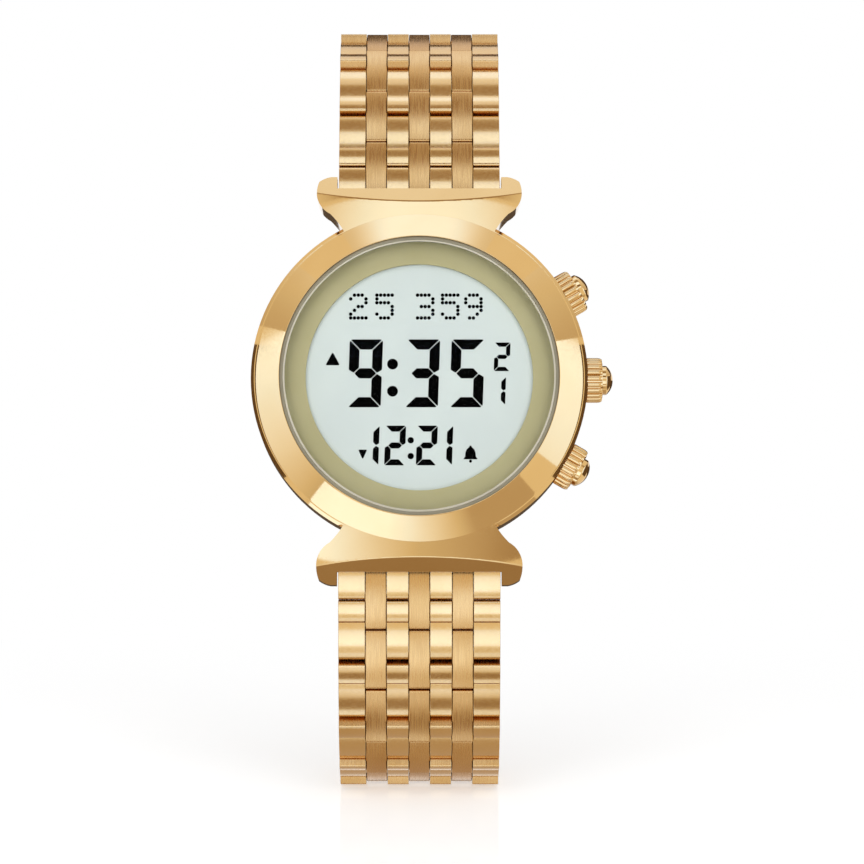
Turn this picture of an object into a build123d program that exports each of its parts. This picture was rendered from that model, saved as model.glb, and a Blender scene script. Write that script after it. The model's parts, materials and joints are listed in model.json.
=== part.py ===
from build123d import *
import math
import os

# Ladies' digital prayer-time wristwatch on a seven-column link bracelet, in millimetres.
# The origin is on the wrist axis, level with the dial centre. The dial faces -Y, 12 o'clock
# is +Z and the pushers are on the +X side. The case is drawn lying down, with its height
# along Z from the outer face of the case back, and then stood up by in_case().

# Bracelet
PITCH = 6.68  # from one hinge pin to the next along the strap
EDGE_WIDTH = 2.9  # polished outer columns
BEAD_WIDTH = 2.3  # polished inner columns
BAR_WIDTH = 2.25  # brushed columns
COLUMN_GAP = 0.14  # between neighbouring columns
ROW_GAP = 0.1  # between pieces that follow each other in one column
LINK_OUT = 1.45  # from the hinge line to the crest of a polished bead
LINK_IN = 1.25  # from the hinge line to the wrist side
BAR_OUT = 1.3  # from the hinge line to the flat of a brushed bar
CROWN = 0.26  # rise of a bead's crest over its ends
SMALL_BEAD = 2.34  # length of the short crest nearest the case
GROOVE_WIDTH = 0.12  # between the short and the long crest
GROOVE_DEPTH = 0.2
EDGE_BREAK = 0.14  # chamfer of the brushed bars
PIN_RADIUS = 0.5
PIN_INSET = 0.2  # from the side of the strap to the pin's end
RUN = 0.03  # running clearance of a pin in its bore
WEB_OUT = 0.7  # outer side of the web that joins a link's columns
WEB_IN = 1.1  # wrist side of the same web
PATH_GAP = 0.1  # between a web and the corner that turns past it

# Angle of each link back from the vertical when the bracelet is closed, in degrees
UPPER_TILTS = [21, 22, 35, 61, 87, 117, 146, 165, 176]
LOWER_TILTS = [9, 13, 31, 58, 80, 106, 133, 155, 171, 179]

# Case
WRIST_DEPTH = 13.5  # from the wrist axis to the case back
CASE_RADIUS = 18.65
CASE_HEIGHT = 6.1
CASE_WALL = 3.05  # of the case middle, beside the module
FLANGE = 0.8  # thickness of the flange over the module
FLANGE_WIDTH = 1.0
CASE_EDGE = 0.35  # chamfer of the case middle
HORN_SPAN = 22.8  # over the widest part of the horns
HORN_PAST_HOOD = 1.4  # how far the horn tips stand out past the hood's edge
HORN_BELLY = 0.5  # from the hood's edge back to where the horns are widest
HORN_CORNER = 0.6  # from a horn's tip back to where its outer corner starts
HORN_LEAN = 0.25  # how far the outer corner lies inside the widest point
HORN_CREST = 1.1  # from the widest point in to the middle of the rounded tip
HOOD_LAP = 2.15  # from a spring bar out to the hood's edge over the bracelet
HOOD_FACET = 1.3  # width of the sloping facet along the hood's edge
FACET_DROP = 1.0
HOOD_DROP = 0.9  # fall of the hood's face from the case top to the facet
TIP_DROP = 0.9  # fall of the horns from the hood's edge to their tips
HORN_UNDER = 1.0  # rise of the horns' underside at their tips
WAIST = 16.8  # width of the neck between the case and the horns
WAIST_CURVE = 0.55  # hollow of the neck's corner
BAR_OFFSET = 0.6  # from the case's edge out to a spring bar
BAR_HEIGHT = 2.8  # from the case back's outer face to a spring bar
BAR_RADIUS = 0.65
BAR_TIP_RADIUS = 0.4
BAR_TIP = 1.0  # length of a spring bar's tip in the horn
SIDE_GAP = 0.15  # between the bracelet and a horn
SEAT_GAP = 0.3  # between link one and the walls of its recess
SHOULDER = 0.9  # from a spring bar to where link one takes its full width
END_TUBE = 1.25  # radius of the tube of link one round its spring bar
SHOULDER_GAP = 0.15  # from a spring bar back to the wall that faces the shoulders

# Bezel, crystal and dial
BEZEL_STEP = 0.45  # from the case's edge in to the bezel's
BEZEL_WIDTH = 2.75
BEZEL_HEIGHT = 2.5
BEZEL_RIM = 0.45  # upright edge under the polished slope
BEZEL_LIP = 0.5  # flat at the top of the slope
BEZEL_SWELL = 0.35  # how far the slope bulges past a straight one
BEZEL_SWELL_AT = 0.66  # share of the slope's height where it bulges
CRYSTAL_THICKNESS = 1.9
CRYSTAL_BEVEL = 0.3
RING_THICKNESS = 0.5
WINDOW_RADIUS = 12.55
RING_GAP = 0.1  # between the dial ring and the bezel's bore
GASKET_DROP = 0.25  # from the crystal's face down to the gasket's

# Case back and its gasket
BACK_LAP = 0.8  # how far the back covers the case's edge
BACK_THICKNESS = 0.9
BACK_STEP = 0.25  # depth of the step round the back's raised middle
BACK_RIM = 2.8  # width of that step
SPIGOT_WALL = 0.6
SPIGOT_HEIGHT = 0.9
SPIGOT_GAP = 0.06
GASKET_WIDTH = 0.5
GASKET_HEIGHT = 0.4
NOTCH_WIDTH = 3.0  # opening notch at the edge of the case back
NOTCH_DEPTH = 0.6

# Module
FRAME_GAP = 0.3  # between the module frame and the case
FRAME_WALL = 1.4
CELL_RADIUS = 10.0
CELL_THICKNESS = 1.6
CELL_GAP = 0.15
CELL_SHOULDER = 0.4  # height of the cell's narrow negative cap
CELL_CAP = 0.88  # the cap's radius as a share of the cell's
CLIP_SHEET = 0.2  # thickness of the battery clip
CLIP_WIDTH = 5.0
CLIP_LENGTH = 24.4
BOARD_MARGIN = 1.9  # from the cavity's wall in to the board's edge
BOARD_THICKNESS = 0.8
LCD_WIDTH = 25.7
LCD_THICKNESS = 1.35
LCD_MARGIN = 1.25  # from the cavity's wall in to the display's corners
LCD_GAP = 0.05
ZEBRA_WIDTH = 1.6
ZEBRA_LENGTH = 16.4
ZEBRA_OFFSET = 10.0
BACKLIGHT_LENGTH = 19.0
BACKLIGHT_WIDTH = 17.0
BACKLIGHT_THICKNESS = 1.3
SOUNDER_RADIUS = 10.4
CERAMIC_RADIUS = 7.6
SOUNDER_SHEET = 0.14
SCREW_SPACING = 22.0
SCREW_RADIUS = 0.35
SCREW_HEAD_RADIUS = 0.7
SCREW_HEAD = 0.22
SCREW_LENGTH = 1.1

# Pushers at 2, 3 and 4 o'clock
PUSHER_ANGLES = {"upper": 30, "middle": 0, "lower": -30}
PUSHER_HEIGHT = 4.0
SEAT_DEPTH = 0.3  # of the flats that the collars sit on, below the case's edge
COLLAR_LENGTH = 1.98
COLLAR_RADIUS = 2.5
FLUTES = 20
FLUTE_DEPTH = 0.22
SEAT_MARGIN = 0.25
TUBE_RADIUS = 1.35
TUBE_FIT = 0.02
BUTTON_RADIUS = 1.62
BUTTON_REACH = 1.16  # how far a button stands out of its collar
BUTTON_DOME = 0.75
BUTTON_SKIRT = 1.08  # part of a button inside its collar
BUTTON_GAP = 0.04
TRAVEL = 0.7
STEM_RADIUS = 0.45
STEM_REACH = 0.65  # from the cavity wall to the inner end of a stem
CLIP_RADIUS = 1.0
CLIP_THICKNESS = 0.3
CLIP_GAP = 0.05
SPRING_WIRE = 0.1  # radius of the wire
SPRING_CHAMBER = 0.95
SPRING_FLOOR = 0.8  # from the tube's inner end to the spring's seat
SPRING_TURNS = 6
CONTACT_SHEET = 0.15
CONTACT_WIDTH = 1.6
CONTACT_FOOT = 1.0
CONTACT_RISE = 0.9

# Fold-over clasp
CLASP_CURVE = 120  # radius of the clasp along the hinge line
COVER_SHEET = 0.65
COVER_ROOM = 0.8  # from the hinge line to the underside of the cover
WALL_SHEET = 0.7
WALL_IN = 0.5  # from the hinge line to the edge of a side wall
EYE_RADIUS = 1.15
COVER_START = 2.3  # from the first pivot to the cover's plate
COVER_END = 0.9  # from the middle pivot to the cover's end
BLADE_SHEET = 0.65
BLADE_WIDTH = 13.6
BLADE_GAP = 0.1
FIRST_PIVOT = 4.6  # from the strap's end to the pivot of cover and outer blade
SECOND_PIVOT = 5.0  # from the strap's start to the pivot of the two blades
BLADE_PIN = 0.35
TUBE_OUT = 0.75  # radius of the rolled hinge tubes
CENTRE_TUBE = 6.8
TONGUE = 1.05
SLOT_WIDTH = 4.0
SLOT_INSET = 6.0

# Sizes that follow from the ones above
STRAP_WIDTH = 2 * EDGE_WIDTH + 2 * BEAD_WIDTH + 3 * BAR_WIDTH + 6 * COLUMN_GAP
BEAD_CENTRE = BAR_WIDTH / 2 + COLUMN_GAP + BEAD_WIDTH / 2
BAR_CENTRE = BEAD_CENTRE + BEAD_WIDTH / 2 + COLUMN_GAP + BAR_WIDTH / 2
EDGE_CENTRE = STRAP_WIDTH / 2 - EDGE_WIDTH / 2
HINGE = PITCH / 4  # from a piece's end to its pin
END_RADIUS = HINGE - ROW_GAP / 2
CAVITY_RADIUS = CASE_RADIUS - CASE_WALL
FLANGE_RADIUS = CAVITY_RADIUS - FLANGE_WIDTH
BAR_DISTANCE = CASE_RADIUS + BAR_OFFSET
HOOD_EDGE = BAR_DISTANCE + HOOD_LAP
HORN_TIP = HOOD_EDGE + HORN_PAST_HOOD
HORN_WIDEST = HOOD_EDGE - HORN_BELLY
BEZEL_RADIUS = CASE_RADIUS - BEZEL_STEP
BEZEL_BORE = BEZEL_RADIUS - BEZEL_WIDTH
CRYSTAL_RADIUS = BEZEL_BORE - GASKET_WIDTH
BACK_RADIUS = CAVITY_RADIUS + BACK_LAP
BACK_MIDDLE = BACK_RADIUS - BACK_RIM
BOARD_RADIUS = CAVITY_RADIUS - BOARD_MARGIN
LCD_RADIUS = CAVITY_RADIUS - LCD_MARGIN
COLLAR_SEAT = CASE_RADIUS - SEAT_DEPTH
BEAD_END = LINK_OUT - CROWN
CASE_TOP = BACK_THICKNESS + CASE_HEIGHT
FLANGE_UNDER = CASE_TOP - FLANGE
HOOD_UNDER = BAR_HEIGHT + LINK_OUT + SEAT_GAP
RECESS_WIDTH = STRAP_WIDTH + 2 * SIDE_GAP
TONGUE_WIDTH = STRAP_WIDTH - 2 * EDGE_WIDTH - 2 * COLUMN_GAP
NECK_WIDTH = TONGUE_WIDTH + 2 * SIDE_GAP
RECESS_WALL = BAR_DISTANCE - END_RADIUS - SEAT_GAP / 2
LCD_TOP = CASE_TOP - LCD_GAP
LCD_UNDER = LCD_TOP - LCD_THICKNESS
CELL_BOTTOM = BACK_THICKNESS + 2 * SOUNDER_SHEET + SCREW_HEAD + CLIP_SHEET
BOARD_BOTTOM = CELL_BOTTOM + CELL_THICKNESS + CELL_GAP
BOARD_TOP = BOARD_BOTTOM + BOARD_THICKNESS
FRAME_RADIUS = CAVITY_RADIUS - FRAME_GAP
SPIGOT_RADIUS = CAVITY_RADIUS - SPIGOT_GAP
SPIGOT_TOP = BACK_THICKNESS + SPIGOT_HEIGHT
COLLAR_END = COLLAR_SEAT + COLLAR_LENGTH
BUTTON_BASE = COLLAR_END - BUTTON_SKIRT
BUTTON_TIP = COLLAR_END + BUTTON_REACH
BORE_FLOOR = BUTTON_BASE - TRAVEL - CLIP_GAP
SPRING_SEAT = CAVITY_RADIUS + SPRING_FLOOR
STEM_END = CAVITY_RADIUS - STEM_REACH
BLADE_OUT = BLADE_SHEET / 2
INNER_TOP = -TUBE_OUT - BLADE_GAP
INNER_UNDER = INNER_TOP - BLADE_SHEET
BLADE_PIVOT = (BLADE_OUT + INNER_UNDER) / 2


def in_case(shape):
    """Stand a shape drawn in case coordinates up behind the dial."""
    return Pos(0, -WRIST_DEPTH, 0) * Rot(90, 0, 0) * shape


def disc(radius, bottom, top):
    return Pos(0, 0, (bottom + top) / 2) * Cylinder(radius, top - bottom)


def ring(outer, inner, bottom, top):
    return disc(outer, bottom, top) - disc(inner, bottom - 1, top + 1)


def slab(width, depth, bottom, top, x=0, y=0):
    return Pos(x, y, (bottom + top) / 2) * Box(width, depth, top - bottom)


def rod(radius, start, end):
    """A round bar along X."""
    return Pos((start + end) / 2, 0, 0) * Rot(0, 90, 0) * Cylinder(radius, end - start)


def across(face, width, centre=0):
    """Extrude a strap profile, drawn in (along, out), over a width of the strap."""
    return extrude(Pos(centre - width / 2, 0, 0) * (Plane.YZ * face), width)


# ---------------------------------------------------------------- bracelet path


def upper_place(y, z, tilt):
    """Where a link lies on the 12 o'clock side: its +Y runs along the strap, +Z outward."""
    return Pos(0, y, z) * Rot(90 - tilt, 0, 0)


def lower_place(y, z, tilt):
    return Pos(0, y, z) * Rot(tilt - 90, 0, 0) * Rot(0, 180, 0)


def hinge_line(tilts, side):
    """The hinges of one half of the bracelet, from the spring bar to the clasp."""
    y = -WRIST_DEPTH - BAR_HEIGHT
    z = side * BAR_DISTANCE
    points = [(y, z)]
    for tilt in tilts:
        y += PITCH * math.sin(math.radians(tilt))
        z += side * PITCH * math.cos(math.radians(tilt))
        points.append((y, z))
    return points


UPPER_HINGES = hinge_line(UPPER_TILTS, 1)
LOWER_HINGES = hinge_line(LOWER_TILTS, -1)
CLASP_DY = LOWER_HINGES[-1][0] - UPPER_HINGES[-1][0]
CLASP_DZ = LOWER_HINGES[-1][1] - UPPER_HINGES[-1][1]
CLASP_CHORD = math.hypot(CLASP_DY, CLASP_DZ)
CLASP_TILT = math.degrees(math.atan2(CLASP_DY, CLASP_DZ))
CLASP_LENGTH = 2 * CLASP_CURVE * math.asin(CLASP_CHORD / 2 / CLASP_CURVE)
FIRST_AT = CLASP_LENGTH - FIRST_PIVOT


# ---------------------------------------------------------------- bracelet links


def bead_face():
    """Side view of a polished column: two crowned crests, a round end on the wrist side."""
    start = -HINGE - END_RADIUS
    end = PITCH / 2 - ROW_GAP / 2
    groove = start + SMALL_BEAD
    turn = math.radians(-180) + math.asin(LINK_IN / END_RADIUS)
    foot = -HINGE + END_RADIUS * math.cos(turn)
    half = -HINGE + END_RADIUS * math.cos((turn - math.pi) / 2)
    half_t = END_RADIUS * math.sin((turn - math.pi) / 2)
    deep = BEAD_END - GROOVE_DEPTH
    short_end = groove - GROOVE_WIDTH / 2
    long_start = groove + GROOVE_WIDTH / 2
    return make_face(
        [
            ThreePointArc((start, 0), (half, half_t), (foot, -LINK_IN)),
            Polyline((foot, -LINK_IN), (end, -LINK_IN), (end, BEAD_END)),
            ThreePointArc((end, BEAD_END), ((long_start + end) / 2, LINK_OUT), (long_start, BEAD_END)),
            Polyline((long_start, BEAD_END), (groove, deep), (short_end, BEAD_END)),
            ThreePointArc((short_end, BEAD_END), ((start + short_end) / 2, LINK_OUT), (start, BEAD_END)),
            Line((start, BEAD_END), (start, 0)),
        ]
    )


def bar_face():
    """Side view of a brushed column: flat outside, a round end on the wrist side."""
    start = ROW_GAP / 2
    end = PITCH - ROW_GAP / 2
    pin = PITCH - HINGE
    side_top = BAR_OUT - EDGE_BREAK
    turn = math.asin(LINK_IN / END_RADIUS)
    foot = (pin + END_RADIUS * math.cos(turn), -LINK_IN)
    half = (pin + END_RADIUS * math.cos(turn / 2), -END_RADIUS * math.sin(turn / 2))
    return make_face(
        [
            Polyline(foot, (start, -LINK_IN), (start, side_top), (start + EDGE_BREAK, BAR_OUT)),
            Polyline((start + EDGE_BREAK, BAR_OUT), (end - EDGE_BREAK, BAR_OUT), (end, side_top)),
            Line((end, side_top), (end, 0)),
            ThreePointArc((end, 0), half, foot),
        ]
    )


def link_body():
    """One link: four polished beads, three brushed bars and the web that joins them."""
    bead = bead_face()
    bar = bar_face()
    corner = math.hypot(END_RADIUS, LINK_OUT) + PATH_GAP
    web_length = 2 * (2 * HINGE - corner)
    web = Box(STRAP_WIDTH - EDGE_WIDTH, web_length, WEB_OUT + WEB_IN)
    web = Pos(0, HINGE, (WEB_OUT - WEB_IN) / 2) * web
    columns = [web]
    for side in (-1, 1):
        columns.append(across(bead, EDGE_WIDTH, side * EDGE_CENTRE))
        columns.append(across(bead, BEAD_WIDTH, side * BEAD_CENTRE))
        columns.append(across(bar, BAR_WIDTH, side * BAR_CENTRE))
    columns.append(across(bar, BAR_WIDTH))
    return columns[0].fuse(*columns[1:])


def end_link(body):
    """Link one: a shoulder under the hood and a narrow tube round the spring bar."""
    cut = END_RADIUS + SHOULDER
    link = body - Pos(0, SHOULDER - HINGE - cut / 2, 0) * Box(STRAP_WIDTH, cut, 4 * LINK_OUT)
    link += Pos(0, -HINGE, 0) * rod(END_TUBE, -TONGUE_WIDTH / 2, TONGUE_WIDTH / 2)
    return link + Pos(0, 0, -WEB_IN / 2) * Box(TONGUE_WIDTH, 2 * HINGE, WEB_IN)


def pin(at, radius=PIN_RADIUS, width=STRAP_WIDTH - 2 * PIN_INSET):
    return Pos(0, at, 0) * rod(radius, -width / 2, width / 2)


def make_link(body, first):
    """A link with its bores, and its hinge pin as a second solid. The first link of each
    half turns on the case's spring bar instead."""
    start = BAR_RADIUS if first else PIN_RADIUS
    link = end_link(body) if first else body
    link -= pin(-HINGE, start + RUN, STRAP_WIDTH + 1)
    link -= pin(PITCH - HINGE, PIN_RADIUS + RUN, STRAP_WIDTH + 1)
    pieces = [link.solid()]
    if not first:
        pieces.append(pin(-HINGE).solid())
    return Compound(pieces)


def bracelet():
    """Both halves of the bracelet, each link in its own node."""
    body = link_body()
    parts = {}
    halves = (
        ("upper", UPPER_TILTS, UPPER_HINGES, upper_place),
        ("lower", LOWER_TILTS, LOWER_HINGES, lower_place),
    )
    for name, tilts, hinges, place in halves:
        for number, tilt in enumerate(tilts):
            y, z = hinges[number]
            link = make_link(body, number == 0)
            parts[f"{name}_link_{number + 1}"] = place(y, z, tilt) * Pos(0, HINGE, 0) * link
    return parts


# ---------------------------------------------------------------- clasp


def on_curve(along, out):
    """A point of the closed clasp in its own plane: along its hinge line, then outward."""
    turn = (along - CLASP_LENGTH / 2) / CLASP_CURVE
    reach = CLASP_CURVE + out
    drop = CLASP_CURVE * math.cos(CLASP_LENGTH / 2 / CLASP_CURVE)
    return (CLASP_CHORD / 2 + reach * math.sin(turn), reach * math.cos(turn) - drop)


def strip(start, end, inner, outer, width, centre=0):
    """A curved sheet of the clasp between two places along it."""
    middle = (start + end) / 2
    face = make_face(
        [
            ThreePointArc(on_curve(start, outer), on_curve(middle, outer), on_curve(end, outer)),
            Line(on_curve(end, outer), on_curve(end, inner)),
            ThreePointArc(on_curve(end, inner), on_curve(middle, inner), on_curve(start, inner)),
            Line(on_curve(start, inner), on_curve(start, outer)),
        ]
    )
    return across(face, width, centre)


def clasp_rod(along, out, radius, width, centre=0):
    y, z = on_curve(along, out)
    return Pos(centre, y, z) * rod(radius, -width / 2, width / 2)


def clasp_cover():
    """The folded outer shell: a curved plate with a side wall and two eyes on each side."""
    plate = strip(COVER_START, FIRST_AT + COVER_END, COVER_ROOM, COVER_ROOM + COVER_SHEET, STRAP_WIDTH)
    wall_centre = STRAP_WIDTH / 2 - WALL_SHEET / 2
    for side in (-1, 1):
        plate += strip(0, FIRST_AT, -WALL_IN, WALL_IN, WALL_SHEET, side * wall_centre)
        plate += strip(COVER_START, FIRST_AT, 0, COVER_ROOM + WALL_IN, WALL_SHEET, side * wall_centre)
        plate += clasp_rod(0, 0, EYE_RADIUS, WALL_SHEET, side * wall_centre)
        plate += clasp_rod(FIRST_AT, 0, EYE_RADIUS, WALL_SHEET, side * wall_centre)
    plate -= clasp_rod(0, 0, PIN_RADIUS + RUN, STRAP_WIDTH + 1)
    return plate - clasp_rod(FIRST_AT, 0, BLADE_PIN + RUN, STRAP_WIDTH + 1)


def outer_blade():
    """The blade that folds under the cover, with a tube at each end."""
    blade = strip(SECOND_PIVOT + TONGUE, FIRST_AT, -BLADE_OUT, BLADE_OUT, BLADE_WIDTH)
    blade += clasp_rod(FIRST_AT, 0, TUBE_OUT, BLADE_WIDTH)
    side_width = (BLADE_WIDTH - CENTRE_TUBE) / 2 - BLADE_GAP
    side_centre = BLADE_WIDTH / 2 - side_width / 2
    tube_top = BLADE_PIVOT + TUBE_OUT
    tongue_end = SECOND_PIVOT + 2 * TONGUE
    for side in (-1, 1):
        centre = side * side_centre
        blade += clasp_rod(SECOND_PIVOT, BLADE_PIVOT, TUBE_OUT, side_width, centre)
        blade += strip(SECOND_PIVOT, tongue_end, -BLADE_OUT, tube_top, side_width, centre)
    blade -= clasp_rod(FIRST_AT, 0, BLADE_PIN + RUN, STRAP_WIDTH)
    blade -= clasp_rod(SECOND_PIVOT, BLADE_PIVOT, BLADE_PIN + RUN, STRAP_WIDTH)
    return blade - strip(SECOND_PIVOT + SLOT_INSET, FIRST_AT - SLOT_INSET, -1, 1, SLOT_WIDTH)


def inner_blade():
    """The blade next to the wrist. Its two arms reach the pivot at the bracelet's other end."""
    blade = strip(SECOND_PIVOT + TONGUE, FIRST_AT + BLADE_OUT, INNER_UNDER, INNER_TOP, BLADE_WIDTH)
    blade += clasp_rod(SECOND_PIVOT, BLADE_PIVOT, TUBE_OUT, CENTRE_TUBE)
    tube_under = BLADE_PIVOT - TUBE_OUT
    blade += strip(SECOND_PIVOT, SECOND_PIVOT + 2 * TONGUE, tube_under, INNER_TOP, CENTRE_TUBE)
    for side in (-1, 1):
        centre = side * BEAD_CENTRE
        blade += strip(FIRST_AT - TONGUE, CLASP_LENGTH, INNER_UNDER, INNER_TOP, BEAD_WIDTH, centre)
        blade += clasp_rod(CLASP_LENGTH, 0, EYE_RADIUS, BEAD_WIDTH, centre)
        blade -= clasp_rod(CLASP_LENGTH, 0, PIN_RADIUS + RUN, BEAD_WIDTH + COLUMN_GAP, centre)
    return blade - clasp_rod(SECOND_PIVOT, BLADE_PIVOT, BLADE_PIN + RUN, STRAP_WIDTH)


def clasp():
    """The fold-over clasp, closed. It rides on the upper half of the bracelet."""
    place = upper_place(*UPPER_HINGES[-1], CLASP_TILT)
    stubs = []
    for side in (-1, 1):
        stubs.append(clasp_rod(CLASP_LENGTH, 0, PIN_RADIUS, BEAD_WIDTH, side * BEAD_CENTRE).solid())
    parts = {
        "clasp_cover": clasp_cover(),
        "clasp_spring_bar": clasp_rod(0, 0, PIN_RADIUS, STRAP_WIDTH - 2 * PIN_INSET),
        "cover_hinge_pin": clasp_rod(FIRST_AT, 0, BLADE_PIN, STRAP_WIDTH - 2 * PIN_INSET),
        "outer_blade": outer_blade(),
        "blade_hinge_pin": clasp_rod(SECOND_PIVOT, BLADE_PIVOT, BLADE_PIN, BLADE_WIDTH - 2 * PIN_INSET),
        "inner_blade": inner_blade(),
        "clasp_end_pins": Compound(stubs),
    }
    return {name: place * shape for name, shape in parts.items()}


# ---------------------------------------------------------------- case


def horn_outline():
    """Plan of the hooded lugs on the 12 o'clock side, flaring from a neck to round horns."""
    neck = WAIST / 2
    wide = HORN_SPAN / 2
    root = math.sqrt(CASE_RADIUS**2 - neck**2)
    start = (neck, root - WAIST_CURVE / 2)
    hollow = (neck + WAIST_CURVE, root + WAIST_CURVE)
    turn = ((neck + wide) / 2, (root + HORN_WIDEST - 2 * HORN_BELLY) / 2)
    flare = (wide - HORN_LEAN, HORN_WIDEST - HOOD_FACET)
    corner = (wide - HORN_LEAN, HORN_TIP - HORN_CORNER)
    cheek = (wide - HORN_LEAN / 4, (HORN_WIDEST + HORN_TIP - HORN_CORNER) / 2)
    crest = (wide - HORN_CREST, HORN_TIP - HORN_LEAN / 2)
    nose = (RECESS_WIDTH / 2 - SEAT_GAP, HORN_TIP)
    inside = FLANGE_RADIUS / 2
    right = [
        Line((neck, inside), start),
        ThreePointArc(start, hollow, turn),
        ThreePointArc(turn, flare, (wide, HORN_WIDEST)),
        ThreePointArc((wide, HORN_WIDEST), cheek, corner),
        ThreePointArc(corner, crest, nose),
    ]
    left = [edge.mirror(Plane.YZ) for edge in right]
    tip_line = Line(nose, (-nose[0], HORN_TIP))
    return make_face(right + left + [tip_line, Line((neck, inside), (-neck, inside))])


def horn_side():
    """Side view of the same lugs: the face falls from the bezel to a steeper facet."""
    facet = HOOD_EDGE - HOOD_FACET
    facet_top = CASE_TOP - HOOD_DROP
    edge_top = facet_top - FACET_DROP
    under = BACK_THICKNESS
    face = make_face(
        Polyline(
            (FLANGE_RADIUS / 2, under),
            (HOOD_EDGE, under),
            (HORN_TIP, under + HORN_UNDER),
            (HORN_TIP, edge_top - TIP_DROP),
            (HOOD_EDGE, edge_top),
            (facet, facet_top),
            (BEZEL_RADIUS, CASE_TOP),
            (FLANGE_RADIUS / 2, CASE_TOP),
            close=True,
        )
    )
    return across(face, HORN_SPAN)


def horns():
    lug = extrude(horn_outline(), CASE_TOP + 1) & horn_side()
    lug -= slab(RECESS_WIDTH, HORN_TIP, 0, CASE_TOP + 1, y=HOOD_EDGE + HORN_TIP / 2)
    return lug + lug.mirror(Plane.XZ)


def case_body():
    """Case middle: a ring with hooded horns, bored for the module and the pusher tubes."""
    barrel = disc(CASE_RADIUS, BACK_THICKNESS, CASE_TOP)
    barrel = chamfer(barrel.edges().filter_by(GeomType.CIRCLE), CASE_EDGE)
    body = barrel + horns()
    body -= disc(CAVITY_RADIUS, 0, FLANGE_UNDER)
    body -= disc(FLANGE_RADIUS, 0, CASE_TOP + 1)
    body -= disc(CAVITY_RADIUS + GASKET_WIDTH, 0, BACK_THICKNESS + GASKET_HEIGHT)
    for side in (-1, 1):
        for width, wall in ((NECK_WIDTH, RECESS_WALL), (RECESS_WIDTH, BAR_DISTANCE - SHOULDER_GAP)):
            body -= slab(width, HORN_TIP - wall + 1, 0, HOOD_UNDER, y=side * (HORN_TIP + wall + 1) / 2)
        reach = NECK_WIDTH / 2 + BAR_TIP + RUN
        holes = rod(BAR_TIP_RADIUS + RUN, -reach, reach)
        body -= Pos(0, side * BAR_DISTANCE, BAR_HEIGHT) * holes
    for angle in PUSHER_ANGLES.values():
        seat = rod(COLLAR_RADIUS + SEAT_MARGIN, COLLAR_SEAT, COLLAR_END)
        seat += rod(TUBE_RADIUS + TUBE_FIT, CELL_RADIUS, COLLAR_END)
        body -= at_pusher(seat, angle)
    return body


def bezel():
    """Polished ring with a domed slope, seated on the case middle round the crystal."""
    top = CASE_TOP + BEZEL_HEIGHT
    crest = BEZEL_BORE + BEZEL_LIP
    rise = BEZEL_RIM + (BEZEL_HEIGHT - BEZEL_RIM) * BEZEL_SWELL_AT
    belly = ((BEZEL_RADIUS + crest) / 2 + BEZEL_SWELL, CASE_TOP + rise)
    profile = make_face(
        [
            Line((BEZEL_BORE, CASE_TOP), (BEZEL_RADIUS, CASE_TOP)),
            Line((BEZEL_RADIUS, CASE_TOP), (BEZEL_RADIUS, CASE_TOP + BEZEL_RIM)),
            ThreePointArc((BEZEL_RADIUS, CASE_TOP + BEZEL_RIM), belly, (crest, top)),
            Polyline((crest, top), (BEZEL_BORE, top - BEZEL_LIP / 2), (BEZEL_BORE, CASE_TOP)),
        ]
    )
    return revolve(Plane.XZ * profile, Axis.Z)


def crystal():
    bottom = CASE_TOP + RING_THICKNESS
    glass = disc(CRYSTAL_RADIUS, bottom, bottom + CRYSTAL_THICKNESS)
    return chamfer(glass.edges().group_by(Axis.Z)[-1], CRYSTAL_BEVEL)


def case_back():
    """Snap-on back: a stepped plate with a spigot ring and a notch to open it by."""
    plate = disc(BACK_RADIUS, BACK_STEP, BACK_THICKNESS) + disc(BACK_MIDDLE, 0, BACK_STEP)
    plate += ring(SPIGOT_RADIUS, SPIGOT_RADIUS - SPIGOT_WALL, BACK_THICKNESS, SPIGOT_TOP)
    notch_middle = -BACK_RADIUS * math.cos(math.radians(45))
    notch = Rot(0, 0, 45) * Box(NOTCH_DEPTH * 2, NOTCH_WIDTH, BACK_THICKNESS + BACK_STEP)
    notch = Pos(notch_middle, notch_middle, 0) * notch
    return plate - notch


def spring_bars():
    """The two bars that hold the bracelet between the horns, with thin sprung tips."""
    bars = []
    half = NECK_WIDTH / 2 - SIDE_GAP / 2
    reach = NECK_WIDTH / 2 + BAR_TIP
    for side in (-1, 1):
        bar = rod(BAR_RADIUS, -half, half) + rod(BAR_TIP_RADIUS, -reach, reach)
        bars.append((Pos(0, side * BAR_DISTANCE, BAR_HEIGHT) * bar).solid())
    return Compound(bars)


# ---------------------------------------------------------------- module


def lcd_outline(width, radius, bottom, top):
    return slab(width, width, bottom, top) & disc(radius, bottom, top)


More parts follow.
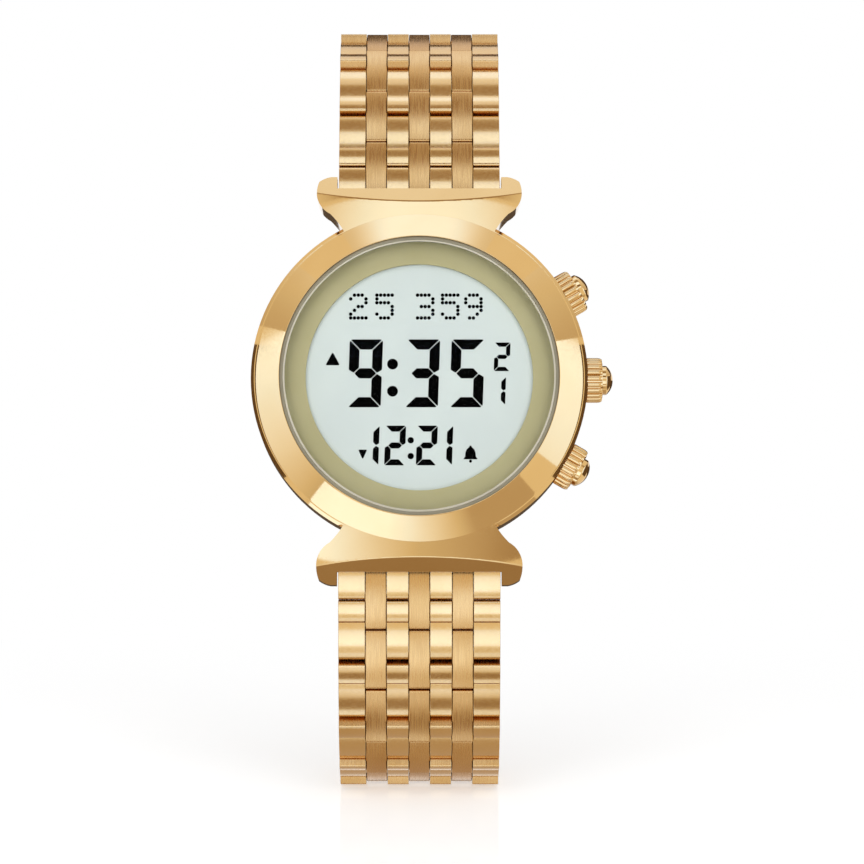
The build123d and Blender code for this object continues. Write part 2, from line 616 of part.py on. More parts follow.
def module_frame():
    """Moulded holder: cell pocket below, board and display pockets above, pusher notches."""
    body = disc(FRAME_RADIUS, CELL_BOTTOM, FLANGE_UNDER)
    body -= ring(CASE_RADIUS, SPIGOT_RADIUS - SPIGOT_WALL - FRAME_GAP, 0, SPIGOT_TOP + FRAME_GAP)
    body -= disc(CELL_RADIUS + CELL_GAP, 0, BOARD_BOTTOM)
    body -= disc(FRAME_RADIUS - FRAME_WALL, BOARD_BOTTOM, LCD_UNDER)
    body -= lcd_outline(LCD_WIDTH + 2 * LCD_GAP, LCD_RADIUS + LCD_GAP, LCD_UNDER - 1, FLANGE_UNDER + 1)
    for side in (-1, 1):
        body -= Pos(side * SCREW_SPACING / 2, 0, 0) * disc(SCREW_RADIUS + RUN, 0, BOARD_BOTTOM + 1)
    notch_width = 2 * (CLIP_RADIUS + FRAME_GAP)
    for angle in PUSHER_ANGLES.values():
        notch = Pos(FRAME_RADIUS, 0, 0) * Box(2 * FRAME_WALL + 1, notch_width, notch_width)
        body -= at_pusher(notch, angle)
    return body


def button_cell():
    cell = disc(CELL_RADIUS, CELL_BOTTOM, CELL_BOTTOM + CELL_THICKNESS - CELL_SHOULDER)
    return cell + disc(CELL_RADIUS * CELL_CAP, CELL_BOTTOM, CELL_BOTTOM + CELL_THICKNESS)


def battery_clip():
    plate = slab(CLIP_LENGTH, CLIP_WIDTH, CELL_BOTTOM - CLIP_SHEET, CELL_BOTTOM)
    for side in (-1, 1):
        plate -= Pos(side * SCREW_SPACING / 2, 0, 0) * disc(SCREW_RADIUS + RUN, 0, CELL_BOTTOM + 1)
    return plate


def clip_screws():
    head_top = CELL_BOTTOM - CLIP_SHEET
    screw = disc(SCREW_HEAD_RADIUS, head_top - SCREW_HEAD, head_top)
    screw += disc(SCREW_RADIUS, head_top, head_top + SCREW_LENGTH)
    return Compound([(Pos(side * SCREW_SPACING / 2, 0, 0) * screw).solid() for side in (-1, 1)])


def sounder_disc():
    """Piezo sounder: a ceramic disc on a brass one, stuck to the inside of the case back."""
    brass = disc(SOUNDER_RADIUS, BACK_THICKNESS, BACK_THICKNESS + SOUNDER_SHEET)
    ceramic = disc(CERAMIC_RADIUS, 0, SOUNDER_SHEET)
    return brass + Pos(0, 0, BACK_THICKNESS + SOUNDER_SHEET) * ceramic


def zebra_connectors():
    strips = []
    for side in (-1, 1):
        rubber = slab(ZEBRA_LENGTH, ZEBRA_WIDTH, BOARD_TOP, LCD_UNDER, y=side * ZEBRA_OFFSET)
        strips.append(rubber.solid())
    return Compound(strips)


def switch_contacts():
    """Three sprung leaves at the board's edge, one in front of each pusher stem."""
    leaves = []
    foot_out = BOARD_RADIUS + CONTACT_SHEET
    foot = Box(CONTACT_FOOT, CONTACT_WIDTH, CONTACT_SHEET)
    foot = Pos(foot_out - CONTACT_FOOT / 2, 0, BOARD_TOP + CONTACT_SHEET / 2) * foot
    leaf_bottom = BOARD_TOP - CONTACT_RISE
    leaf_height = BOARD_TOP + CONTACT_SHEET - leaf_bottom
    leaf = Box(CONTACT_SHEET, CONTACT_WIDTH, leaf_height)
    leaf = Pos(foot_out + CONTACT_SHEET / 2, 0, leaf_bottom + leaf_height / 2) * leaf
    for angle in PUSHER_ANGLES.values():
        leaves.append((Rot(0, 0, angle) * (foot + leaf)).solid())
    return Compound(leaves)


# ---------------------------------------------------------------- pushers


def at_pusher(shape, angle):
    """Turn a shape drawn along +X at pusher height to its hour."""
    return Rot(0, 0, angle) * Pos(0, 0, PUSHER_HEIGHT) * shape


def pusher_collar():
    """Fluted collar with the tube that carries it in the case wall."""
    points = []
    for step in range(2 * FLUTES):
        radius = COLLAR_RADIUS if step % 2 else COLLAR_RADIUS - FLUTE_DEPTH
        turn = math.pi * step / FLUTES
        points.append((radius * math.cos(turn), radius * math.sin(turn)))
    outline = make_face(Polyline(*points, close=True))
    collar = extrude(Pos(COLLAR_SEAT, 0, 0) * (Plane.YZ * outline), COLLAR_LENGTH)
    collar += rod(TUBE_RADIUS, CAVITY_RADIUS, COLLAR_SEAT)
    collar -= rod(BUTTON_RADIUS + BUTTON_GAP, BORE_FLOOR, COLLAR_END + 1)
    collar -= rod(SPRING_CHAMBER, SPRING_SEAT, BORE_FLOOR)
    return collar - rod(STEM_RADIUS + RUN, 0, SPRING_SEAT)


def pusher_button():
    """Domed button on its stem."""
    dome_base = BUTTON_TIP - BUTTON_DOME
    dome_radius = (BUTTON_RADIUS**2 + BUTTON_DOME**2) / (2 * BUTTON_DOME)
    dome_turn = math.asin(BUTTON_RADIUS / dome_radius) / 2
    dome_fall = dome_radius * (1 - math.cos(dome_turn))
    dome_middle = (dome_radius * math.sin(dome_turn), BUTTON_TIP - dome_fall)
    profile = make_face(
        [
            Polyline((0, STEM_END), (STEM_RADIUS, STEM_END), (STEM_RADIUS, BUTTON_BASE)),
            Line((STEM_RADIUS, BUTTON_BASE), (BUTTON_RADIUS, BUTTON_BASE)),
            Line((BUTTON_RADIUS, BUTTON_BASE), (BUTTON_RADIUS, dome_base)),
            ThreePointArc((BUTTON_RADIUS, dome_base), dome_middle, (0, BUTTON_TIP)),
            Line((0, BUTTON_TIP), (0, STEM_END)),
        ]
    )
    return Rot(0, 90, 0) * revolve(Plane.XZ * profile, Axis.Z)


def pusher_clip():
    outer = CAVITY_RADIUS - CLIP_GAP
    clip = rod(CLIP_RADIUS, outer - CLIP_THICKNESS, outer)
    return clip - rod(STEM_RADIUS + RUN, 0, CASE_RADIUS)


def pusher_spring():
    """Coil spring round the stem, between the tube and the underside of the button."""
    length = BUTTON_BASE - SPRING_SEAT - 2 * SPRING_WIRE - 2 * RUN
    radius = SPRING_CHAMBER - SPRING_WIRE - RUN
    helix = Helix(length / SPRING_TURNS, length, radius)
    section = Plane(origin=helix @ 0, z_dir=helix % 0) * RegularPolygon(SPRING_WIRE, 6)
    coil = sweep(section, path=helix, is_frenet=True)
    return Pos(SPRING_SEAT + SPRING_WIRE + RUN, 0, 0) * Rot(0, 90, 0) * coil


def pushers():
    collars = []
    parts = {}
    for hour, angle in PUSHER_ANGLES.items():
        collars.append(at_pusher(pusher_collar(), angle).solid())
        parts[f"{hour}_pusher"] = at_pusher(pusher_button(), angle)
        parts[f"{hour}_pusher_clip"] = at_pusher(pusher_clip(), angle)
        parts[f"{hour}_pusher_spring"] = at_pusher(pusher_spring(), angle)
    parts["pusher_collars"] = Compound(collars)
    return parts


def head():
    """The watch head, drawn lying down."""
    glass_top = CASE_TOP + RING_THICKNESS + CRYSTAL_THICKNESS
    parts = {
        "case_body": case_body(),
        "bezel": bezel(),
        "crystal": crystal(),
        "crystal_gasket": ring(
            BEZEL_BORE, CRYSTAL_RADIUS, CASE_TOP + RING_THICKNESS, glass_top - GASKET_DROP
        ),
        "dial_ring": ring(BEZEL_BORE - RING_GAP, WINDOW_RADIUS, CASE_TOP, CASE_TOP + RING_THICKNESS),
        "lcd_panel": lcd_outline(LCD_WIDTH, LCD_RADIUS, LCD_UNDER, LCD_TOP),
        "backlight_panel": slab(
            BACKLIGHT_LENGTH, BACKLIGHT_WIDTH, BOARD_TOP, BOARD_TOP + BACKLIGHT_THICKNESS
        ),
        "zebra_connectors": zebra_connectors(),
        "circuit_board": disc(BOARD_RADIUS, BOARD_BOTTOM, BOARD_TOP),
        "module_frame": module_frame(),
        "switch_contacts": switch_contacts(),
        "button_cell": button_cell(),
        "battery_clip": battery_clip(),
        "clip_screws": clip_screws(),
        "sounder_disc": sounder_disc(),
        "case_back": case_back(),
        "back_gasket": ring(
            CAVITY_RADIUS + GASKET_WIDTH - RUN,
            CAVITY_RADIUS + RUN,
            BACK_THICKNESS,
            BACK_THICKNESS + GASKET_HEIGHT - RUN,
        ),
        "spring_bars": spring_bars(),
    }
    parts.update(pushers())
    return {name: in_case(shape) for name, shape in parts.items()}


def main():
    os.makedirs("parts", exist_ok=True)
    parts = {**head(), **bracelet(), **clasp()}
    for name, shape in parts.items():
        shape.label = name
        export_step(shape, f"parts/{name}.step")
    print(len(parts), "nodes")


main()
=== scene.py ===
import json
import math
from functools import partial

import bmesh
import bpy
from mathutils import Matrix, Vector

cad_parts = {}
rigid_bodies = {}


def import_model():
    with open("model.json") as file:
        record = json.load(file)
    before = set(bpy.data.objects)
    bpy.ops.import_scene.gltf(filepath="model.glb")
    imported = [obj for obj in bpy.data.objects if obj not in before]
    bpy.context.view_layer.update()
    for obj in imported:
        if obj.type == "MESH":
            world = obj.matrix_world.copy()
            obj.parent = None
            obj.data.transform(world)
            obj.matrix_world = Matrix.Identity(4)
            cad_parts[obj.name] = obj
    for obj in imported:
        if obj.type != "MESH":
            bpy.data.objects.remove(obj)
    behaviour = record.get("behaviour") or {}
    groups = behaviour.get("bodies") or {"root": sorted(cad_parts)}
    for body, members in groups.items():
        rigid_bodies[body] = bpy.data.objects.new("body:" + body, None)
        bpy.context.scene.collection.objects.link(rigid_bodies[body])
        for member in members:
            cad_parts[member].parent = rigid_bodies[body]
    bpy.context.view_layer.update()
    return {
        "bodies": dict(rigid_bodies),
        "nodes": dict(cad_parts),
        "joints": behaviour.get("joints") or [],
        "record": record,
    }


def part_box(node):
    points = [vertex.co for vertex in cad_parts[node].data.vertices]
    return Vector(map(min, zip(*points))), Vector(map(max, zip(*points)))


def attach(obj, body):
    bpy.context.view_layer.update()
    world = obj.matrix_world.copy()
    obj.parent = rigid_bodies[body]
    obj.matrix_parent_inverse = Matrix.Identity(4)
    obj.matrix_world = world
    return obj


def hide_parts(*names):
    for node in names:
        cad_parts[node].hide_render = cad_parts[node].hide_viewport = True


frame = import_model()
bodies = frame["bodies"]
nodes = frame["nodes"]

MM = 0.001  # sizes below are in millimetres unless they say otherwise
DIAL_Y = -20.5  # the display's face
BACK_Y = -13.5  # the outer face of the case back


# ---------------- camera and studio

CAMERA_DISTANCE = 520
CAMERA_ELEVATION = math.radians(-5.5)  # the watch leans back, so the lens looks up at it
VIEW_WIDTH = 95.4  # what the picture takes in at the display
FRAME_SHIFT = 1.4  # the watch stands this far left of the picture's middle
AIM = Vector((0, DIAL_Y, -6.05))
SENSOR = 36
ROOM_GREY = 0.5  # the light that the white room gives to matt surfaces
FLOOR_LEAN = math.radians(10)  # how far the watch leans back from the floor's upright
FLOOR_HALF = 3000
FLOOR_WHITE = (0.8, 0.8, 0.8, 1)
FLOOR_GLOW = 0.5  # the white that a glossy board shows of the room
FLOOR_MIRROR = 0.12  # the mirrored share of the board's light
FLOOR_FADE = (50 * MM, 140 * MM)  # from the board to the white room, outward from the watch
CARD_DISTANCE = 480
REAR_DISTANCE = 330
BLACK_CARD = 0.1
REAR_GREY = 0.15
RIGHT = Vector((1, 0, 0))
UP = Vector((0, 0, 1))
BACKWARD = Vector((0, 1, 0))
EVEN_WHITE = (1, 1, 1, 1)
COOL = (0.8, 1.08, 1.9, 1)  # the brightest part of a card
WARM = (1, 0.68, 0.42, 1)  # the darkest part of a flag
WARM_TO_WHITE = (0.2, 0.85)  # the levels between which a card's tone changes
WHITE_TO_COOL = (0.9, 1.6)


def sRGB(code):
    """A colour written as a hex value, in linear light."""
    channels = [int(code[i : i + 2], 16) / 255 for i in (1, 3, 5)]
    linear = [c / 12.92 if c <= 0.04045 else ((c + 0.055) / 1.055) ** 2.4 for c in channels]
    return (*linear, 1.0)


def add_node(tree, kind, inputs=(), **settings):
    """One node with its settings. Its inputs, in order or by name, are values, sockets, or
    nodes that give their first output. A list links several of them to one input."""
    node = tree.nodes.new(kind)
    for name, value in settings.items():
        setattr(node, name, value)
    for socket, value in inputs.items() if isinstance(inputs, dict) else enumerate(inputs):
        for source in value if isinstance(value, list) else [value]:
            if isinstance(source, bpy.types.Node):
                source = source.outputs[0]
            if isinstance(source, bpy.types.NodeSocket):
                tree.links.new(source, node.inputs[socket])
            else:
                node.inputs[socket].default_value = source
    return node


def start_nodes(holder):
    """Empties the node tree of a material or a world, and gives what adds nodes to it."""
    holder.use_nodes = True
    holder.node_tree.nodes.clear()
    return partial(add_node, holder.node_tree)


def start_material(name):
    material = bpy.data.materials.new(name)
    return material, start_nodes(material)


def put_in_scene(name, data):
    thing = bpy.data.objects.new(name, data)
    bpy.context.scene.collection.objects.link(thing)
    return thing


def put_sheet(name, x, y):
    """A flat rectangle that reaches this far each way from its middle, in metres."""
    mesh = bpy.data.meshes.new(name)
    mesh.from_pydata([(-x, -y, 0), (x, -y, 0), (x, y, 0), (-x, y, 0)], [], [(0, 1, 2, 3)])
    return put_in_scene(name, mesh)


def place_camera():
    camera = put_in_scene("camera", bpy.data.cameras.new("camera"))
    back = Vector((0, -math.cos(CAMERA_ELEVATION), math.sin(CAMERA_ELEVATION)))
    camera.location = (AIM + back * CAMERA_DISTANCE) * MM
    camera.rotation_euler = (-back).to_track_quat("-Z", "Y").to_euler()
    camera.data.sensor_width = SENSOR
    camera.data.lens = SENSOR * CAMERA_DISTANCE / VIEW_WIDTH
    camera.data.shift_x = FRAME_SHIFT / VIEW_WIDTH
    camera.data.clip_start = 0.01
    bpy.context.scene.camera = camera
    bpy.context.scene.view_settings.view_transform = "Standard"


def seen_directly(add):
    """1 where the eye, a mirror or glass looks at a thing, and 0 where it only gives light."""
    ray = add("ShaderNodeLightPath").outputs
    seen = ray["Is Camera Ray"]
    for other in ("Is Glossy Ray", "Is Transmission Ray"):
        seen = add("ShaderNodeMath", (seen, ray[other]), operation="MAXIMUM")
    return seen


def white_world():
    """White where it is looked at, and a soft grey light elsewhere."""
    world = bpy.data.worlds.new("studio")
    add = start_nodes(world)
    soft = add("ShaderNodeBackground", (EVEN_WHITE, ROOM_GREY))
    white = add("ShaderNodeBackground", (EVEN_WHITE, 1.0))
    mixed = add("ShaderNodeMixShader", (seen_directly(add), soft, white))
    add("ShaderNodeOutputWorld", [mixed])
    bpy.context.scene.world = world


def fill_lamp(name, centre, size, power):
    """A rectangular lamp for matt surfaces, aimed at the watch, which no mirror shows."""
    lamp = bpy.data.lights.new(name, "AREA")
    lamp.shape = "RECTANGLE"
    lamp.size, lamp.size_y = size[0] * MM, size[1] * MM
    lamp.energy = power
    holder = put_in_scene(name, lamp)
    holder.location = Vector(centre) * MM
    holder.rotation_euler = (-Vector(centre)).to_track_quat("-Z", "Y").to_euler()
    holder.visible_camera = holder.visible_glossy = False


def reflector(name, centre, axes, size, foot, top, fade=0.0, beside=1.0):
    """A card that only polished metal shows, where the white room around it counts as 1.
    Its strength runs from its foot to its top, and fades to another level at its sides.
    axes are the card's own X, Y and Z."""
    x, y = size[0] / 2 * MM, size[1] / 2 * MM
    card = put_sheet(name, x, y)
    card.matrix_world = Matrix.Translation(centre * MM) @ Matrix(axes).transposed().to_4x4()
    material, add = start_material(name)
    where = add("ShaderNodeTexCoord").outputs["Object"]
    spot = add("ShaderNodeSeparateXYZ", [where]).outputs
    ranged = "ShaderNodeMapRange"
    mix = "ShaderNodeMix"
    light = add(ranged, (spot["Y"], -y, y, foot, top))
    aside = add("ShaderNodeMath", [spot["X"]], operation="ABSOLUTE")
    sides = (aside, x * (1 - fade), x * 1.001, 1.0, 0.0)  # 1.001 keeps the two ends apart
    kept = add(ranged, sides, interpolation_type="SMOOTHSTEP")
    level = add(mix, {0: kept, 2: beside, 3: light}, data_type="FLOAT")
    dim = add(ranged, (level, *WARM_TO_WHITE, 0.0, 1.0))
    tone = add(mix, {0: dim, 6: WARM, 7: EVEN_WHITE}, data_type="RGBA").outputs[2]
    bright = add(ranged, (level, *WHITE_TO_COOL, 0.0, 1.0))
    tone = add(mix, {0: bright, 6: tone, 7: COOL}, data_type="RGBA").outputs[2]
    glow = add("ShaderNodeEmission", (tone, level))
    add("ShaderNodeOutputMaterial", [glow])
    card.data.materials.append(material)
    card.visible_camera = card.visible_diffuse = card.visible_shadow = False
    card.visible_transmission = False


def band(name, low, high, foot, top, width=520, fade=0.5, beside=1.0, ends=None):
    """A reflector across the watch, between two heights in degrees above the lens's axis:
    90 is overhead, -90 underneath. Where ends are given, they are the places of its left and
    right end, and its strength runs from the one to the other."""
    middle = math.radians((low + high) / 2)
    out = Vector((0, -math.cos(middle), math.sin(middle)))
    rise = Vector((0, math.sin(middle), math.cos(middle)))
    centre = out * CARD_DISTANCE + Vector((sum(ends) / 2 if ends else 0, DIAL_Y, 0))
    height = 2 * CARD_DISTANCE * math.tan(math.radians((high - low) / 2))
    if ends:
        reflector(name, centre, (rise, RIGHT, out), (height, ends[1] - ends[0]), foot, top)
    else:
        reflector(name, centre, (RIGHT, rise, -out), (width, height), foot, top, fade, beside)


def side_card(name, side, low, high, foot, top, front=-500, back=REAR_DISTANCE):
    """A tall reflector beside the watch, between two heights and two depths."""
    centre = Vector((side * CARD_DISTANCE, (front + back) / 2, (low + high) / 2))
    axes = (-side * BACKWARD, UP, -side * RIGHT)
    reflector(name, centre, axes, (back - front, high - low), foot, top)


def back_flag(name, low, high):
    """A black card behind the watch, which darkens the edges that turn away."""
    centre = Vector((0, REAR_DISTANCE, (low + high) / 2))
    reflector(name, centre, (RIGHT, UP, -BACKWARD), (1200, high - low), BLACK_CARD, BLACK_CARD)


def lay_floor():
    """A glossy white board that fades into the white room away from the watch. From below it
    is clear, so that it never hides the watch, and mirrors show the room in its place."""
    up = Vector((0, -math.sin(FLOOR_LEAN), math.cos(FLOOR_LEAN)))
    floor = put_sheet("floor", FLOOR_HALF * MM, FLOOR_HALF * MM)
    floor.rotation_euler = up.to_track_quat("Z", "Y").to_euler()
    floor.location = up * min(up.dot(v.co) for node in nodes.values() for v in node.data.vertices)
    floor.visible_glossy = False
    material, add = start_material("glossy white acrylic board")
    matte = add("ShaderNodeBsdfDiffuse", [FLOOR_WHITE])
    share = (seen_directly(add), FLOOR_GLOW)
    shine = add("ShaderNodeMath", share, operation="MULTIPLY")
    glow = add("ShaderNodeEmission", (EVEN_WHITE, shine))
    lit = add("ShaderNodeAddShader", (matte, glow))
    gloss = {"Color": EVEN_WHITE, "Roughness": 0.06}
    sheen = add("ShaderNodeBsdfGlossy", gloss)
    mix = "ShaderNodeMixShader"
    board = add(mix, (FLOOR_MIRROR, lit, sheen))
    where = add("ShaderNodeTexCoord").outputs["Object"]
    far = add("ShaderNodeVectorMath", [where], operation="LENGTH").outputs["Value"]
    fading = {"interpolation_type": "SMOOTHSTEP"}
    away = add("ShaderNodeMapRange", (far, *FLOOR_FADE, 0.0, 1.0), **fading)
    room = add("ShaderNodeEmission", (EVEN_WHITE, 1.0))
    above = add(mix, (away, board, room))
    clear = add("ShaderNodeBsdfTransparent")
    under = add("ShaderNodeNewGeometry").outputs["Backfacing"]
    both = add(mix, (under, above, clear))
    add("ShaderNodeOutputMaterial", [both])
    floor.data.materials.append(material)


place_camera()
white_world()
lay_floor()
fill_lamp("left fill", (-210, -480, 60), (240, 240), 0.55)
fill_lamp("right fill", (210, -480, 60), (240, 240), 0.55)
fill_lamp("top fill", (0, -420, 300), (300, 200), 0.38)
side_card("left card", -1, -560, 211, 0.65, 1.95, back=-50)
side_card("right card", 1, -256, 173, 1.5, 1.9, back=-50)
for name, side in (("left rear flag", -1), ("right rear flag", 1)):
    side_card(name, side, -300, 150, REAR_GREY, REAR_GREY, front=-48)
side_card("left shoulder card", -1, 212, 520, 0.74, 1.0)
side_card("right shoulder card", 1, 174, 520, 0.74, 1.0)
back_flag("lower back flag", -120, 36)
back_flag("upper back flag", 120, 500)
band("back card", 101, 128, 1.2, 1.0)
band("overhead card", 86.5, 100, 1.75, 1.75, 450, 0.7)
band("high card", 75, 86, 1.2, 1.2, 700, 0.9, 0.9)
band("crown flag", 54, 74, 0.45, 0.45)
band("brow card", 34, 53, 1.85, 1.7, 900, 0.9, 0.35)
band("brow flag", 19, 33, 0.3, 0.3)
band("upper front card", 9, 18, 1.6, 1.7)
band("lower front card", -33, -9, 2.15, 1.65)
band("left foot card", -42, -34, 1.8, 0.85, ends=(-260, 0))
band("right foot card", -42, -34, 0.85, 0.5, ends=(0, 260))
band("foot card", -56, -43, 1.0, 1.6)
band("foot flag", -75, -57, 0.42, 0.42, 400)
band("low left card", -88, -76, 1.9, 1.9, ends=(-480, -110))
band("low middle card", -88, -76, 1.9, 0.65, ends=(-110, 200))
band("low right flag", -92, -60, 0.66, 0.66, ends=(200, 540))
band("floor flag", -150, -89, 0.6, 0.6)


# ---------------- materials

EVEN = (1, 1, 1)
ALONG_STRAP = (1, 0.04, 0.04)
BARE = {"Metallic": 1.0}
LACQUER = {"Metallic": 1.0, "Coat Weight": 0.5, "Coat Roughness": 0.04, "Coat IOR": 1.6}
THIN_LACQUER = {"Metallic": 1.0, "Coat Weight": 0.35, "Coat Roughness": 0.25, "Coat IOR": 1.6}
CLOUD = 160  # the scale of the soft patches in which a finish varies its colour
NOISE_MIDDLE = (0.35, 0.65)  # where most of the noise's values lie
SMEAR = 220  # the scale of the faint smears on the glass
GLASS_TINT = (0.985, 0.99, 0.985, 1)


def grain(add, scale, stretch=EVEN, detail=3.0):
    """Noise over the piece's own coordinates, drawn out along the small entries of stretch."""
    where = {"Vector": add("ShaderNodeTexCoord").outputs["Object"], "Scale": stretch}
    drawn = add("ShaderNodeMapping", where)
    noise = {"Vector": drawn, "Scale": scale, "Detail": detail}
    return add("ShaderNodeTexNoise", noise).outputs["Fac"]


def spread(add, source, low, high):
    """The noise's middle stretched to run from low to high."""
    return add("ShaderNodeMapRange", (source, *NOISE_MIDDLE, low, high))


def surface(name, colour, second, rough, scale, bump, stretch=EVEN, **values):
    """A finish: two tones in a soft cloud, and marks that vary its sheen and relief.
    scale and stretch are the marks', and bump is (strength, depth in millimetres)."""
    material, add = start_material(name)
    fine = grain(add, scale, stretch)
    cloud = spread(add, grain(add, CLOUD, detail=2.0), 0.0, 1.0)
    tones = {0: cloud, 6: sRGB(colour), 7: sRGB(second)}
    depth = {"Height": fine, "Strength": bump[0], "Distance": bump[1] * MM}
    values["Base Color"] = add("ShaderNodeMix", tones, data_type="RGBA").outputs[2]
    values["Roughness"] = spread(add, fine, *rough)
    values["Normal"] = add("ShaderNodeBump", depth)
    shader = add("ShaderNodeBsdfPrincipled", values)
    add("ShaderNodeOutputMaterial", [shader])
    return material


# Stainless steel, mirror-buffed and ion-plated in yellow gold under a clear coat: sharp
# reflections with a faint haze of buffing marks about 0.3 mm apart.
buffed = surface(
    "mirror-buffed gold plating", "#E0B46C", "#DDB067", (0.04, 0.07), 3000, (0.03, 0.004), **LACQUER
)
# The same plating on the links, tumbled before it is buffed: softer reflections.
link_buffed = surface(
    "soft-buffed gold plating", "#DEB069", "#DAAB62", (0.16, 0.22), 3000, (0.04, 0.004), **LACQUER
)
# The sides of the columns, which no wheel reaches: dull, and painted dark brown as shade, so that
# the narrow gaps between the columns show as dark lines.
unbuffed_painted_shade = surface(
    "unpolished gold plating", "#6E4A1C", "#5C3C14", (0.4, 0.55), 5000, (0.1, 0.005), **BARE
)
# The same plating over a belt-brushed grain. Real grain is 0.02 mm wide, too fine to show,
# so it is drawn 0.1 mm wide: streaks along the strap and a wide, soft highlight.
brushed = surface(
    "belt-brushed gold plating", "#D29E55", "#C89247", (0.22, 0.34), 9000, (0.25, 0.01),
    stretch=ALONG_STRAP, **THIN_LACQUER,
)
# Pressed steel strip, plated and brushed before it is bent: duller than the links.
clasp_gold = surface(
    "brushed gold-plated strip", "#DBAE68", "#D1A25A", (0.2, 0.34), 8000, (0.2, 0.01),
    stretch=ALONG_STRAP, **BARE,
)
# Brass with a satin olive-gold lacquer: even, with a very fine powder in it.
olive = surface(
    "satin olive lacquer on brass", "#B5AC81", "#B0A77B", (0.36, 0.46), 20000, (0.05, 0.003),
    **{"Specular IOR Level": 0.25},
)
# Nitrile rubber, moulded: dull warm grey.
rubber = surface("moulded grey rubber", "#8C856D", "#827B64", (0.5, 0.62), 9000, (0.1, 0.005))
# A liquid crystal segment that is switched on: nearly black, with the display's own sheen.
segment_black = surface(
    "darkened liquid crystal", "#030303", "#020202", (0.3, 0.36), 4000, (0.01, 0.002),
    **{"Specular IOR Level": 0.0},
)


def clear_glass():
    """Mineral glass, ground and polished: clear, with a mirror sheen that grows at its edges."""
    material, add = start_material("polished mineral glass")
    smear = spread(add, grain(add, SMEAR, detail=2.0), 0.01, 0.03)
    sheen = add("ShaderNodeFresnel", {"IOR": 1.07})
    through = add("ShaderNodeBsdfTransparent", [GLASS_TINT])
    mirror = add("ShaderNodeBsdfGlossy", {"Color": EVEN_WHITE, "Roughness": smear})
    both = add("ShaderNodeMixShader", (sheen, through, mirror))
    add("ShaderNodeOutputMaterial", [both])
    return material


glass = clear_glass()
# The bevel round the glass: an opaque pale grey, a painted highlight that stands in for the glint
# of the light on the bevel, seen as a white line.
glass_bevel_painted_glint = surface("ground glass edge", "#E2DFD0", "#D6D3C2", (0.3, 0.4), 9000, (0.05, 0.003))
SLOT_FINISH = {
    "polished_gold": buffed,
    "brushed_gold": clasp_gold,
    "link_gold": link_buffed,
    "crystal_glass": glass,
    "gasket_rubber": rubber,
    "dial_ring": olive,
    # Stainless steel, fine brushed: the case back, pins and bars.
    "steel": surface(
        "fine-brushed stainless steel", "#C9C8C4", "#BDBCB8", (0.22, 0.36), 6000, (0.2, 0.008),
        stretch=(1, 1, 0.06), **BARE,
    ),
    # Reflective display glass over its grey polariser: pale, cool and almost even.
    "lcd_glass": surface(
        "reflective liquid crystal glass", "#D6DEDB", "#D2DAD8", (0.2, 0.26), 4000, (0.01, 0.002),
        **{"Specular IOR Level": 0.1},
    ),
    # Acrylic light guide, moulded and frosted.
    "white_plastic": surface(
        "frosted acrylic diffuser", "#ECEBE4", "#E4E3DC", (0.4, 0.5), 5000, (0.1, 0.005)
    ),
    # Silicone with layers of carbon: near-black stripes 0.1 mm wide across its length.
    "zebra_rubber": surface(
        "layered zebra rubber", "#3C3C3D", "#2A2A2B", (0.5, 0.7), 9000, (0.3, 0.01),
        stretch=(1, 0.05, 0.05),
    ),
    # Glass-fibre board under a green solder mask: the weave shows faintly.
    "board": surface("green solder mask", "#1E5B34", "#17502C", (0.25, 0.4), 2500, (0.2, 0.01)),
    # ABS, injection moulded in black with a fine spark-eroded texture.
    "module_plastic": surface(
        "black moulded ABS", "#1D1D1E", "#161617", (0.4, 0.55), 9000, (0.3, 0.01)
    ),
    # Bright rolled brass sheet.
    "contact_brass": surface(
        "bright rolled brass", "#D9B45C", "#CFA850", (0.15, 0.28), 7000, (0.15, 0.006),
        stretch=(1, 1, 0.05), **BARE,
    ),
}


# ---------------- ways to make a shape

# From a drawing seen from the front, with heights from the case back, to the head's place.
HEAD_TURN = Matrix(((1, 0, 0, 0), (0, 0, -1, BACK_Y), (0, 1, 0, 0), (0, 0, 0, 1)))
HEAD_TURN_METRES = Matrix.Translation((0, BACK_Y * MM, 0)) @ HEAD_TURN.to_3x3().to_4x4()
TINY = 1e-4  # lengths below this count as nothing
CUT = 1e-7  # the same, in metres, where faces are cut
WELD = 2e-6  # how far apart in metres the joined corners of a solid's triangles may be
EDGE_SHARE = 0.48  # the most of a side that the rounding of one corner takes
STRAIGHT = math.pi - 0.02


def rounded(points, radius, steps=4):
    """A closed outline with each of its corners turned into a short arc."""
    line = []
    count = len(points)
    for i, corner in enumerate(points):
        here = Vector(corner)
        before = Vector(points[i - 1]) - here
        after = Vector(points[(i + 1) % count]) - here
        bend = before.angle(after)
        reach = radius / math.tan(bend / 2) if bend < STRAIGHT else 0
        reach = min(reach, before.length * EDGE_SHARE, after.length * EDGE_SHARE)
        if reach < TINY:
            line.append(here)
            continue
        first = here + before.normalized() * reach
        last = here + after.normalized() * reach
        for step in range(steps + 1):
            t = step / steps
            line.append(first * (1 - t) ** 2 + here * 2 * t * (1 - t) + last * t**2)
    return [tuple(p) for p in line]


